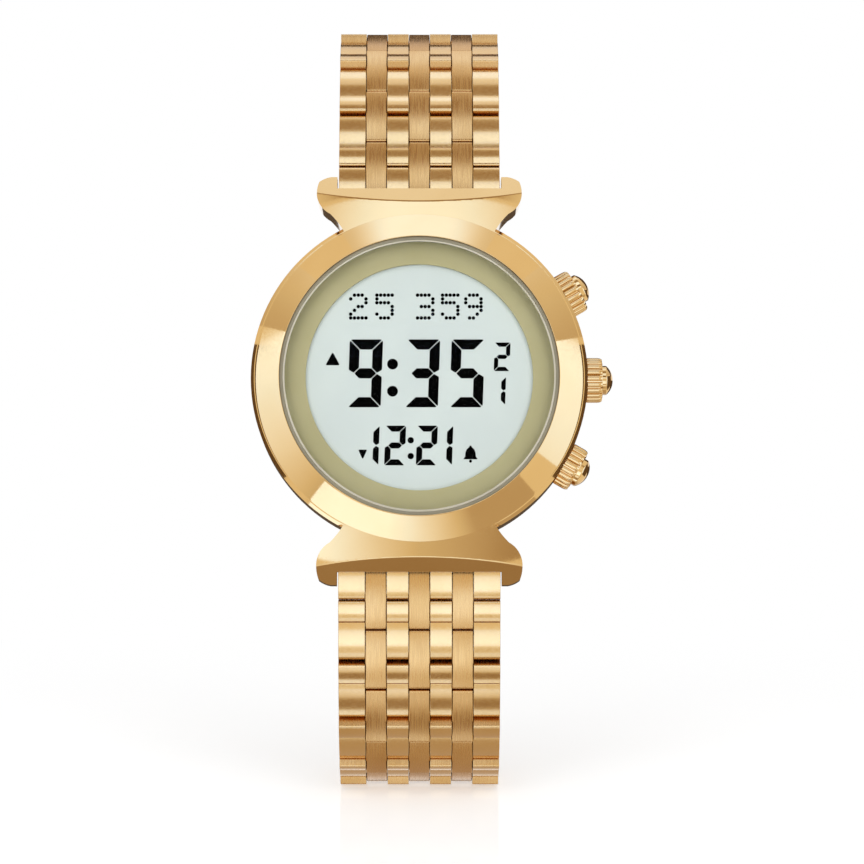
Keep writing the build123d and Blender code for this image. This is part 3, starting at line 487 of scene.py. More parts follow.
def arc(start, middle, end, steps):
    """Points on the circle through three points, from the first to the last."""
    ax, ay = start
    bx, by = middle
    cx, cy = end
    d = 2 * (ax * (by - cy) + bx * (cy - ay) + cx * (ay - by))
    sa, sb, sc = ax**2 + ay**2, bx**2 + by**2, cx**2 + cy**2
    centre_x = (sa * (by - cy) + sb * (cy - ay) + sc * (ay - by)) / d
    centre_y = (sa * (cx - bx) + sb * (ax - cx) + sc * (bx - ax)) / d
    centre = Vector((centre_x, centre_y))
    radius = (Vector(start) - centre).length
    turns = [math.atan2(y - centre.y, x - centre.x) for x, y in (start, middle, end)]
    ahead = (turns[2] - turns[0]) % (2 * math.pi)
    if (turns[1] - turns[0]) % (2 * math.pi) > ahead:
        ahead -= 2 * math.pi
    found = []
    for step in range(steps + 1):
        turn = turns[0] + ahead * step / steps
        found.append((centre.x + radius * math.cos(turn), centre.y + radius * math.sin(turn)))
    return found


def oblong(left, low, right, high):
    return [(left, low), (right, low), (right, high), (left, high)]


def circle(radius, count):
    turns = [2 * math.pi * step / count for step in range(count)]
    return [(radius * math.cos(turn), radius * math.sin(turn)) for turn in turns]


def smooth_up_to(shape, angle):
    for face in shape.faces:
        face.smooth = True
    for edge in shape.edges:
        edge.smooth = edge.is_manifold and edge.calc_face_angle(math.pi) < math.radians(angle)


def finish_mesh(shape, name, materials, angle=35, hand_over=True):
    """A bmesh in millimetres made into an object in metres, with faces out and smooth."""
    bmesh.ops.remove_doubles(shape, verts=shape.verts, dist=TINY)
    bmesh.ops.recalc_face_normals(shape, faces=shape.faces)
    smooth_up_to(shape, angle)
    bmesh.ops.scale(shape, vec=(MM, MM, MM), verts=shape.verts)
    mesh = bpy.data.meshes.new(name)
    shape.to_mesh(mesh)
    shape.free()
    for material in materials:
        mesh.materials.append(material)
    return put_in_scene(name, mesh) if hand_over else bpy.data.objects.new(name, mesh)


def turn_round(shape, profile, place, segments, closed=True, material=0):
    """Spins a profile of (radius, height) round the height axis into a bmesh."""
    rings = []
    for radius, height in profile:
        if radius < TINY:
            rings.append([shape.verts.new(place @ Vector((0, 0, height)))] * segments)
            continue
        ring = [place @ Vector((x, y, height)) for x, y in circle(radius, segments)]
        rings.append([shape.verts.new(point) for point in ring])
    pairs = list(zip(rings, rings[1:]))
    if closed:
        pairs.append((rings[-1], rings[0]))
    for low, high in pairs:
        for i in range(segments):
            corners = dict.fromkeys((low[i - 1], low[i], high[i], high[i - 1]))
            if len(corners) > 2:
                shape.faces.new(corners).material_index = material
    return shape


def skin(shape, lines):
    """Joins closed lines of as many points each into a bmesh, with caps."""
    rows = [[shape.verts.new(point) for point in line] for line in lines]
    shape.faces.new(rows[0])
    shape.faces.new(rows[-1])
    for low, high in zip(rows, rows[1:]):
        for i in range(len(low)):
            shape.faces.new((low[i - 1], low[i], high[i], high[i - 1]))


def push_out(shape, outline, place, low, high):
    """Extrudes a closed outline of (x, y) between two heights into a bmesh, with caps."""
    skin(shape, [[place @ Vector((x, y, z)) for x, y in outline] for z in (low, high)])


def bevelled(piece, width, segments=2, angle=30):
    """Rounds the sharp edges of a piece and keeps the flats between them flat."""
    rounding = piece.modifiers.new("rounded edges", "BEVEL")
    rounding.width = width * MM
    rounding.segments = segments
    rounding.limit_method = "ANGLE"
    rounding.angle_limit = math.radians(angle)
    rounding.harden_normals = True
    return piece


def applied(piece):
    """The piece as its modifiers leave it, as one plain mesh."""
    name = piece.name
    graph = bpy.context.evaluated_depsgraph_get()
    mesh = bpy.data.meshes.new_from_object(piece.evaluated_get(graph))
    rough = piece.data
    bpy.data.objects.remove(piece)
    bpy.data.meshes.remove(rough)
    mesh.name = name
    return put_in_scene(name, mesh)


def welded_copy(node, name, angle=32):
    """A solid's own mesh with its loose triangles joined and shaded smooth up to an angle."""
    mesh = nodes[node].data.copy()
    mesh.name = name
    while mesh.materials:
        mesh.materials.pop()
    if mesh.has_custom_normals:
        mesh.attributes.remove(mesh.attributes["custom_normal"])
    shape = bmesh.new()
    shape.from_mesh(mesh)
    bmesh.ops.remove_doubles(shape, verts=shape.verts, dist=WELD)
    bmesh.ops.dissolve_degenerate(shape, edges=shape.edges, dist=CUT)
    smooth_up_to(shape, angle)
    shape.to_mesh(mesh)
    shape.free()
    return put_in_scene(name, mesh)


def start_group(name, wanted):
    """A geometry tree, what adds nodes to it, and what its inputs give. wanted has the labels
    of each kind of input, and an object gives its shape."""
    tree = bpy.data.node_groups.new(name, "GeometryNodeTree")
    add = partial(add_node, tree)
    for kind, labels in wanted.items():
        for label in labels:
            tree.interface.new_socket(label, in_out="INPUT", socket_type=f"NodeSocket{kind}")
    tree.interface.new_socket("Geometry", in_out="OUTPUT", socket_type="NodeSocketGeometry")
    given = {socket.name: socket for socket in add("NodeGroupInput").outputs}
    for label in wanted["Object"]:
        shown = add("GeometryNodeObjectInfo", {"Object": given[label]})
        given[label] = shown.outputs["Geometry"]
    return tree, add, given


def coated(add, geometry, finish):
    """The geometry with its copies made real, in a finish."""
    solid = add("GeometryNodeRealizeInstances", [geometry])
    return add("GeometryNodeSetMaterial", {"Geometry": solid, "Material": finish})


def grow(name, tree, inputs, place=None):
    """Runs a geometry tree with its inputs and keeps what it makes as one plain mesh."""
    holder = put_in_scene(name, bpy.data.meshes.new(name))
    modifier = holder.modifiers.new(name, "NODES")
    modifier.node_group = tree
    for socket in tree.interface.items_tree:
        if socket.in_out == "INPUT":
            modifier[socket.identifier] = inputs[socket.name]
    piece = applied(holder)
    if place is not None:
        piece.data.transform(place)
    piece.data.validate()
    return piece


def hand_in(piece, body, slot, *stands_for):
    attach(piece, body)
    if stands_for:
        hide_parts(*stands_for)
    return piece


# ---------------- bezel, rings and crystal

CASE_TOP = 7.0  # heights are from the outer face of the case back
BEZEL_OUT = 18.2
BEZEL_IN = 15.45
BEZEL_TOP = 9.5
GLASS_RADIUS = 15.05
GLASS_TOP = 9.4
RING_TOP = 7.5
WINDOW = 12.55
FINE = 256  # the sides of the bezel's circles
ROUND = 224  # and of the rings' and the glass's


def make_bezel():
    """A broad polished cone with a soft edge at its foot and a thin flat at its top."""
    foot = Vector((BEZEL_OUT, CASE_TOP + 0.1))
    crown = Vector((BEZEL_IN + 0.05, BEZEL_TOP))
    slope = [foot, foot.lerp(crown, 0.06), foot.lerp(crown, 0.95), crown]
    profile = [(BEZEL_IN, CASE_TOP), (BEZEL_OUT, CASE_TOP), *slope, (BEZEL_IN, BEZEL_TOP)]
    shape = turn_round(bmesh.new(), rounded(profile, 0.05), HEAD_TURN, FINE)
    return finish_mesh(shape, "bezel_ring", [buffed], angle=50)


def make_ring(name, outer, inner, low, high, edge, finish):
    profile = rounded(oblong(inner, low, outer, high), edge)
    shape = turn_round(bmesh.new(), profile, HEAD_TURN, ROUND)
    return finish_mesh(shape, name, [finish])


def make_crystal():
    """Flat glass with a bright bevel round its face, an opaque pale finish painted as the bevel's
    glint.
    """
    foot = RING_TOP + 0.03
    rim = [(GLASS_RADIUS, GLASS_TOP - 0.25), (GLASS_RADIUS - 0.2, GLASS_TOP - 0.02)]
    side = [(0, foot), (GLASS_RADIUS - 0.05, foot), (GLASS_RADIUS, foot + 0.05), rim[0]]
    face = [rim[1], (GLASS_RADIUS - 0.26, GLASS_TOP), (0, GLASS_TOP)]
    shape = bmesh.new()
    for profile, material in ((side, 0), (rim, 1), (face, 0)):
        turn_round(shape, profile, HEAD_TURN, ROUND, closed=False, material=material)
    return finish_mesh(shape, "crystal_glass_disc", [glass, glass_bevel_painted_glint], angle=20)


hand_in(make_bezel(), "head", "polished_gold", "bezel")
ring = make_ring("dial_ring_satin", BEZEL_IN - 0.1, WINDOW, CASE_TOP, RING_TOP, 0.06, olive)
hand_in(ring, "head", "dial_ring", "dial_ring")
seal = make_ring("crystal_seal", BEZEL_IN, GLASS_RADIUS, RING_TOP, GLASS_TOP - 0.25, 0.1, rubber)
hand_in(seal, "head", "gasket_rubber", "crystal_gasket")
hand_in(make_crystal(), "head", "crystal_glass", "crystal")


# ---------------- case

HOOD_START = 14  # how far from the case's middle its hoods begin
HOOD_CUTS = [HOOD_START + 0.4 * n for n in range(14)]
HOOD_CUTS += [19.6 + 0.1 * n for n in range(18)] + [21.6, 22]  # finest along the facet line
FACE_TILT = 19.3  # degrees, where the hood is FACE_MIDDLE out
FACE_MIDDLE = 18
FACE_SLOPE = 0.8  # degrees of tilt in each millimetre outward
FACE_ROUND = 1.25  # degrees of turn in each millimetre across the hood
FACET_LINE = 19.85  # where the hood's face turns down to its edge, at the middle
FACET_CURVE = 0.9  # how much farther out that line runs at the horns
FACET_TILT = 37.5
FACET_FLATNESS = 0.7  # the share of that turn which the facet lacks
FACET_BLEND = 0.28  # how wide the change from face to facet is
HORN_SIDE = 11  # from the hood's middle to where the horns begin
HOOD_STEP = 0.6  # between the cuts that run outward
CASE_EDGE = 0.16


def on_hood(face):
    """Whether a face, of a bmesh or of a mesh, is on a hood's polished front."""
    centre = face.calc_center_median() if hasattr(face, "calc_center_median") else face.center
    faces_out = face.normal[1] < -0.6 and abs(face.normal[0]) < 0.25
    return abs(centre[2]) > HOOD_START * MM and faces_out


def cut_hoods(piece):
    """A fine grid of cuts over the hoods' faces, to carry their soft shading."""
    shape = bmesh.new()
    shape.from_mesh(piece.data)
    cuts = [((0, 0, side * cut * MM), (0, 0, 1)) for side in (-1, 1) for cut in HOOD_CUTS]
    cuts += [((HOOD_STEP * n * MM, 0, 0), (1, 0, 0)) for n in range(-18, 19)]
    for point, direction in cuts:
        faces = [face for face in shape.faces if on_hood(face)]
        near = faces + list({edge for face in faces for edge in face.edges})
        bmesh.ops.bisect_plane(shape, geom=near, dist=CUT, plane_co=point, plane_no=direction)
    shape.to_mesh(piece.data)
    shape.free()


def hood_normal(x, z):
    """Which way the hood's polished face looks, at a place in millimetres."""
    out = abs(z)
    line = FACET_LINE + FACET_CURVE * (x / HORN_SIDE) ** 2
    past = min(max((out - line) / FACET_BLEND + 0.5, 0), 1)
    past *= past * (3 - 2 * past)
    face = FACE_TILT + FACE_SLOPE * (out - FACE_MIDDLE)
    tilt = math.radians(face + (FACET_TILT - face) * past)
    turn = math.radians(FACE_ROUND * x * (1 - FACET_FLATNESS * past))
    across = math.cos(turn)
    up = math.copysign(across * math.sin(tilt), z)
    return math.sin(turn), -across * math.cos(tilt), up


def shade_hoods(piece):
    mesh = piece.data
    directions = [tuple(corner.vector) for corner in mesh.corner_normals]
    for face in mesh.polygons:
        if on_hood(face):
            for corner in face.loop_indices:
                spot = mesh.vertices[mesh.loops[corner].vertex_index].co / MM
                directions[corner] = hood_normal(spot.x, spot.z)
    mesh.normals_split_custom_set(directions)
    return piece


case = welded_copy("case_body", "case_middle")
cut_hoods(case)
bevelled(case, CASE_EDGE, segments=3)
case.data.materials.append(buffed)
hand_in(shade_hoods(applied(case)), "head", "polished_gold", "case_body")


# ---------------- pushers

PUSHER_HEIGHT = 4.0
PUSHER_TURNS = {"upper": 30, "middle": 0, "lower": -30}
COLLAR_FOOT = 18.35
COLLAR_TOP = 20.33
COLLAR_RADIUS = 2.5
COLLAR_STEM = 0.95  # the bore for the stem
COLLAR_BORE = COLLAR_TOP - 1.85  # the bottom of the bore for the button
RIBS = 20
RIB_WIDTH = 0.6
RIB_HEIGHT = 0.32
BUTTON_RADIUS = 1.62
BUTTON_TIP = 21.49
BUTTON_FOOT = COLLAR_TOP - 1.08


def pusher_place(turn):
    """From a pusher's own axis, drawn as height, to its place on the case."""
    along = Matrix.Rotation(math.radians(90), 4, "Y")
    lifted = Matrix.Translation((0, 0, PUSHER_HEIGHT)) @ along
    return HEAD_TURN @ Matrix.Rotation(math.radians(turn), 4, "Z") @ lifted


def collar_core():
    """The collar without its ribs: a drum with a lip round the button's bore."""
    tube = [(0.55, 15.6), (1.33, 15.6), (1.35, COLLAR_FOOT), (2.1, COLLAR_FOOT)]
    drum = [(2.24, COLLAR_FOOT + 0.14), (2.24, COLLAR_TOP - 0.3), (2.02, COLLAR_TOP - 0.02)]
    lip = [(1.95, COLLAR_TOP), (1.74, COLLAR_TOP), (1.66, COLLAR_TOP - 0.08)]
    bore = [(1.66, COLLAR_BORE), (COLLAR_STEM, COLLAR_BORE), (COLLAR_STEM, 16.5), (0.55, 16.5)]
    shape = turn_round(bmesh.new(), tube + drum + lip + bore, Matrix(), segments=72)
    return finish_mesh(shape, "collar core", [buffed], hand_over=False)


def collar_rib():
    """One rib: a rounded bar along the collar that tapers into it at both ends."""
    stations = [(COLLAR_FOOT, 0.5), (COLLAR_FOOT + 0.16, 0.92), (COLLAR_FOOT + 0.34, 1.0)]
    stations += [(COLLAR_TOP - 0.55, 1.0), (COLLAR_TOP - 0.25, 0.86), (COLLAR_TOP - 0.06, 0.45)]
    rows = []
    for height, share in stations:
        row = [(COLLAR_RADIUS - 0.6, 0, height)]
        for step in range(9):
            turn = math.pi * step / 8
            out = COLLAR_RADIUS - RIB_HEIGHT + RIB_HEIGHT * share * math.sin(turn) ** 0.8
            row.append((out, RIB_WIDTH / 2 * math.cos(turn), height))
        rows.append(row)
    shape = bmesh.new()
    skin(shape, rows)
    return finish_mesh(shape, "collar rib", [buffed], hand_over=False)


def repeat_tree(name, finish):
    """Places one piece round an axis, joins it to a core, and repeats both at equal turns."""
    tree, add, given = start_group(name, {
        "Object": ("Core", "Rib"),
        "Int": ("Ribs", "Copies"),
        "Float": ("First Turn", "Turn Between", "Height"),
    })
    number = add("GeometryNodeInputIndex")

    def copies(piece, label, turn):
        """A piece as often as an input says, each time at its own turn about the axis."""
        points = add("GeometryNodePoints", {"Count": given[label]})
        spin = add("ShaderNodeCombineXYZ", {"Z": turn})
        placed = {"Points": points, "Instance": piece, "Rotation": spin}
        return add("GeometryNodeInstanceOnPoints", placed)

    share = add("ShaderNodeMath", (number, given["Ribs"]), operation="DIVIDE")
    angle = add("ShaderNodeMath", (share, 2 * math.pi), operation="MULTIPLY")
    parts = [given["Core"], copies(given["Rib"], "Ribs", angle)]
    whole = add("GeometryNodeJoinGeometry", [parts])
    lift = add("ShaderNodeCombineXYZ", {"Z": given["Height"]})
    lying = {"Geometry": whole, "Translation": lift, "Rotation": (0, math.pi / 2, 0)}
    collar = add("GeometryNodeTransform", lying)
    step = (number, given["Turn Between"])
    turned = add("ShaderNodeMath", step, operation="MULTIPLY")
    bearing = add("ShaderNodeMath", (turned, given["First Turn"]), operation="ADD")
    every = copies(collar, "Copies", bearing)
    add("NodeGroupOutput", [coated(add, every, finish)])
    return tree


collar_inputs = {
    "Core": collar_core(),
    "Rib": collar_rib(),
    "Ribs": RIBS,
    "Copies": len(PUSHER_TURNS),
    "First Turn": math.radians(min(PUSHER_TURNS.values())),
    "Turn Between": math.radians(PUSHER_TURNS["upper"] - PUSHER_TURNS["middle"]),
    "Height": PUSHER_HEIGHT * MM,
}
collar_tree = repeat_tree("ribbed collars", buffed)
collars = grow("fluted_collars", collar_tree, collar_inputs, HEAD_TURN_METRES)
hand_in(collars, "head", "polished_gold", "pusher_collars")


def make_button(name, turn):
    """A domed cap with a soft shoulder, on its stem."""
    stem = [(0, 14.95), (0.42, 14.95), (0.45, 15.0), (0.45, BUTTON_FOOT)]
    side = [(BUTTON_RADIUS, BUTTON_FOOT), (BUTTON_RADIUS, BUTTON_TIP - 0.78)]
    side += [(BUTTON_RADIUS - 0.02, BUTTON_TIP - 0.71)]
    shoulder = (BUTTON_RADIUS - 0.06, BUTTON_TIP - 0.66)
    dome = arc(shoulder, (0.95, BUTTON_TIP - 0.2), (0, BUTTON_TIP), 9)
    profile = stem + side + dome
    shape = turn_round(bmesh.new(), profile, pusher_place(turn), segments=64, closed=False)
    return finish_mesh(shape, name, [buffed], angle=40)


for hour, turn in PUSHER_TURNS.items():
    cap = make_button(f"{hour}_domed_button", turn)
    hand_in(cap, f"{hour}_pusher", "polished_gold", f"{hour}_pusher")


# ---------------- what the display shows

LCD_FACE = 6.95
FIGURE_HEIGHT = 0.02  # how far a darkened segment stands on the glass
FIGURE_LEAN = 0.035
FIGURE_CORNER = 0.09  # the rounding of a segment's corners, as a share of its thickness
DOT_PITCH = 0.424
DOT_RADIUS = 0.2
DATE_TOP = 9.18
GLYPHS = {
    "2": ("01110", "10001", "00001", "00110", "01000", "10000", "11111"),
    "5": ("11111", "10000", "11110", "00001", "00001", "10001", "01110"),
    "3": ("11110", "00001", "00001", "01110", "00001", "00001", "11110"),
    "9": ("01110", "10001", "10001", "01111", "00001", "00010", "01100"),
}
SEGMENTS = {"1": "bc", "2": "abged", "3": "abgcd", "5": "afgcd", "9": "abcdfg"}
# Each group's figures with their left edges, and the bottom edge, width, height, thickness
# and gap that they share.
FIGURES = (
    ((("9", -7.95), ("3", -1.63), ("5", 3.32)), (-3.3, 3.68, 7.54, 1.12, 0.06)),
    ((("2", 8.22),), (0.72, 1.76, 3.18, 0.47, 0.04)),
    ((("1", 7.78),), (-3.05, 1.7, 3.14, 0.5, 0.04)),
    ((("1", -6.81), ("2", -3.89), ("2", -0.39), ("1", 1.32)), (-9.74, 2.28, 4.4, 0.66, 0.045)),
)
# The colons and the bell's clapper: x, y and radius.
DOTS = (
    (-2.96, 1.5, 0.6), (-2.96, -1.52, 0.6), (-0.95, -6.96, 0.35), (-0.95, -8.72, 0.35),
    (5.65, -9.28, 0.17),
)
BELL_SIDE = [(0.1, 0.9), (0.14, 0.72), (0.42, 0.5), (0.56, 0.1), (0.6, -0.36), (0.85, -0.62)]
BELL = [(-x, y) for x, y in reversed(BELL_SIDE)] + BELL_SIDE
# Plain signs of this design: a triangle for the upper time, one on its point for the lower
# time, and a bell for the call. Each has its outline, its corners' rounding, x and y.
SIGNS = (
    ([(-0.8, -0.68), (0.8, -0.68), (0, 0.8)], 0.12, -9.58, 2.05),
    ([(-0.5, 0.55), (0.5, 0.55), (0, -0.55)], 0.1, -6.25, -8.55),
    (BELL, 0.1, 5.65, -8.45),
)


def dot_tree(finish):
    """A round dot on every point of a mesh."""
    wanted = {"Object": ["Points"], "Float": ("Radius", "Thickness")}
    tree, add, given = start_group("display dots", wanted)
    form = {"Radius": given["Radius"], "Depth": given["Thickness"], "Vertices": 16}
    dot = add("GeometryNodeMeshCylinder", form)
    placed = {"Points": given["Points"], "Instance": dot}
    dots = add("GeometryNodeInstanceOnPoints", placed)
    add("NodeGroupOutput", [coated(add, dots, finish)])
    return tree


def dotted_row(text):
    """The lit points of a row of 5 by 7 figures. text gives each figure's first column."""
    points = []
    for figure, left in text:
        for row, marks in enumerate(GLYPHS[figure]):
            for column, mark in enumerate(marks):
                if mark == "1":
                    spot = (left + column * DOT_PITCH, DATE_TOP - row * DOT_PITCH)
                    points.append(Vector((*spot, LCD_FACE + FIGURE_HEIGHT / 2)) * MM)
    mesh = bpy.data.meshes.new("lit points")
    mesh.from_pydata(points, [], [])
    return bpy.data.objects.new("lit points", mesh)


def segment(letter, width, height, thick, gap):
    """The outline of one of the seven segments of a figure, from its lower left corner."""
    middle = height / 2
    half = thick / 2
    near = thick + gap
    far = width - thick - gap
    bar = [(gap, height), (width - gap, height), (far, height - thick), (near, height - thick)]
    cross = [(half + gap, middle), (near, middle + half), (far, middle + half)]
    cross += [(width - half - gap, middle), (far, middle - half), (near, middle - half)]
    post = [(0, height - gap), (thick, height - thick - gap), (thick, middle + half + gap)]
    post += [(half, middle + gap), (0, middle + half * 0.6 + gap)]
    outline = {"a": bar, "d": bar, "g": cross}.get(letter, post)
    if letter in "bc":
        outline = [(width - x, y) for x, y in outline]
    if letter in "cde":
        outline = [(x, height - y) for x, y in outline]
    return outline


def add_mark(shape, outline, x, y):
    """Sets an outline on the glass, moved to a place."""
    moved = [(x + a, y + b) for a, b in outline]
    push_out(shape, moved, HEAD_TURN, LCD_FACE, LCD_FACE + FIGURE_HEIGHT)


date = {
    "Points": dotted_row((("2", -7.6), ("5", -4.7), ("3", -0.2), ("5", 2.57), ("9", 5.14))),
    "Radius": DOT_RADIUS * MM,
    "Thickness": FIGURE_HEIGHT * MM,
}
row = grow("date_row_dots", dot_tree(segment_black), date, HEAD_TURN_METRES)
hand_in(row, "head", "lcd_glass")

figures = bmesh.new()
for group, (bottom, width, height, thick, gap) in FIGURES:
    for figure, left in group:
        for letter in SEGMENTS[figure]:
            outline = segment(letter, width, height, thick, gap)
            outline = rounded(outline, thick * FIGURE_CORNER, steps=2)
            add_mark(figures, [(x + y * FIGURE_LEAN, y) for x, y in outline], left, bottom)
for x, y, radius in DOTS:
    add_mark(figures, circle(radius, 28), x, y)
for outline, corner, x, y in SIGNS:
    add_mark(figures, rounded(outline, corner, steps=3), x, y)
hand_in(finish_mesh(figures, "display_figures", [segment_black], angle=20), "head", "lcd_glass")


# ---------------- bracelet links

PITCH = 6.68
EDGE_WIDTH = 2.9
BEAD_WIDTH = 2.3
BAR_WIDTH = 2.25
COLUMN_GAP = 0.14
SEAM = 0.1  # how much of a gap each inner column fills, so that no light shows through
ROW_GAP = 0.1
LINK_OUT = 1.34  # from the hinge line to a bead's crest
LINK_IN = 1.25
BAR_OUT = 1.24
BAR_CROWN = 0.3
LONG_CROWN = 0.26
SHORT_CROWN = 0.14
SMALL_BEAD = 2.34
GROOVE = 0.12
GROOVE_DEPTH = 0.2
SHOULDER = 0.9
WEB_IN = 1.1
WEB_OUT = 0.7
TUBE = 1.25
TUBE_BORE = 0.53
PIN = 0.5
PIN_DEPTH = 0.2  # how far a hinge pin's end lies below the outer column's side
PIN_GAP = 0.05
HINGE = PITCH / 4
END_RADIUS = HINGE - ROW_GAP / 2
BEAD_CENTRE = BAR_WIDTH / 2 + COLUMN_GAP + BEAD_WIDTH / 2
BAR_CENTRE = BEAD_CENTRE + BEAD_WIDTH / 2 + COLUMN_GAP + BAR_WIDTH / 2
EDGE_CENTRE = BAR_CENTRE + BAR_WIDTH / 2 + COLUMN_GAP + EDGE_WIDTH / 2
SIDE_FACING = 0.8  # a face that looks this much sideways is a column's side
END_FACING = 0.97  # and one that looks this much along the strap is its end
FLAT_FACING = 0.99  # from this on a column's side is shaded flat
OUTSIDE = 8.9  # the strap's outer sides are farther out than this
COLUMN_EDGE = 0.1
ALONG = Matrix(((0, 0, 1, 0), (1, 0, 0, 0), (0, 1, 0, 0), (0, 0, 0, 1)))  # (s, out) across x


def round_end(hinge, side):
    """The end of a column about a hinge, from the hinge's level down to the inner face."""
    turn = math.asin(LINK_IN / END_RADIUS)
    foot = (hinge + side * END_RADIUS * math.cos(turn), -LINK_IN)
    half = (hinge + side * END_RADIUS * math.cos(turn / 2), -END_RADIUS * math.sin(turn / 2))
    return arc((hinge + side * END_RADIUS, 0), half, foot, 5)


def bead_outline(first):
    """Side view of a polished column, along the strap and outward from its middle."""
    start = SHOULDER - HINGE if first else -HINGE - END_RADIUS
    end = PITCH / 2 - ROW_GAP / 2
    groove = -HINGE - END_RADIUS + SMALL_BEAD
    outline = [(start, -LINK_IN)] if first else round_end(-HINGE, -1)
    outline += rounded(oblong(0, -LINK_IN, end, 0), 0.09)[5:-10]
    ends = LINK_OUT - LONG_CROWN
    crest = ((groove + end) / 2, LINK_OUT)
    outline += [(end, ends - 0.14), (end - 0.02, ends - 0.06), (end - 0.07, ends + 0.01)]
    outline += arc((end - 0.14, ends + 0.05), crest, (groove + GROOVE / 2, ends), 16)
    outline += [(groove, ends - GROOVE_DEPTH)]
    short = groove - GROOVE / 2
    ends = LINK_OUT - SHORT_CROWN
    if first:
        return outline + [(short, ends), (start, LINK_OUT - 0.12)]
    crest = ((start + short) / 2, LINK_OUT)
    outline += arc((short, ends), crest, (start + 0.12, ends + 0.05), 12)
    return outline + [(start + 0.05, ends), (start + 0.01, ends - 0.07), (start, ends - 0.14)]


def bar_outline():
    """Side view of a brushed column: a low crown outside, round underneath."""
    start = ROW_GAP / 2
    end = PITCH - ROW_GAP / 2
    ends = BAR_OUT - BAR_CROWN
    under = round_end(PITCH - HINGE, 1)
    outline = [under.pop(), (start, -LINK_IN)]
    shoulder = [(start, ends - 0.14), (start + 0.05, ends - 0.04), (start + 0.15, ends + 0.02)]
    outline += arc(*shoulder, 4)
    outline += arc((start + 0.3, ends + 0.045), (PITCH / 2, BAR_OUT), (end - 0.3, ends + 0.045), 18)
    outline += arc(*[(PITCH - s, out) for s, out in reversed(shoulder)], 4)
    return outline + under


def column(name, outline, width, finish):
    """A column of a link, with the edges between its crests and its sides rounded."""
    shape = bmesh.new()
    push_out(shape, outline, ALONG, -width / 2, width / 2)
    piece = finish_mesh(shape, name, [finish], angle=60)
    return applied(bevelled(piece, COLUMN_EDGE, segments=3, angle=55))


def drilled(piece, side, width):
    """The outer column with the hinge pin's end showing, a little below its side."""
    hole = bmesh.new()
    across = ALONG @ Matrix.Translation((-HINGE, 0, 0))
    end = width / 2 - PIN_DEPTH
    outside = width / 2 + 0.4
    gap = PIN + PIN_GAP
    profile = [(0, end), (PIN, end), (PIN, end - 0.2), (gap, end - 0.2)]
    profile += [(gap, outside), (0, outside)]
    turn_round(hole, profile, across, segments=32, closed=False)
    if side < 0:
        bmesh.ops.scale(hole, vec=(-1, 1, 1), verts=hole.verts)
    cutter = finish_mesh(hole, "pin hole", [link_buffed])
    cut = piece.modifiers.new("pin hole", "BOOLEAN")
    cut.object = cutter
    cut.operation = "DIFFERENCE"
    cut.solver = "EXACT"
    piece = applied(piece)
    bpy.data.objects.remove(cutter)
    return piece


def link_web(first):
    """The web under the columns, and on a first link the tube round the spring bar."""
    shape = bmesh.new()
    half = 2 * HINGE - math.hypot(END_RADIUS, LINK_OUT) - 0.1
    web = rounded(oblong(HINGE - half, -WEB_IN, HINGE + half, WEB_OUT), 0.1)
    push_out(shape, web, ALONG, -EDGE_CENTRE, EDGE_CENTRE)
    if first:
        reach = EDGE_CENTRE - EDGE_WIDTH / 2 - COLUMN_GAP
        tube = rounded(oblong(TUBE_BORE, -reach, TUBE, reach), 0.1)
        turn_round(shape, tube, ALONG @ Matrix.Translation((-HINGE, 0, 0)), segments=40)
        plate = rounded(oblong(-HINGE + 1.0, -1.08, HINGE, 0), 0.08)
        push_out(shape, plate, ALONG, -reach, reach)
    return finish_mesh(shape, "link web", [link_buffed])


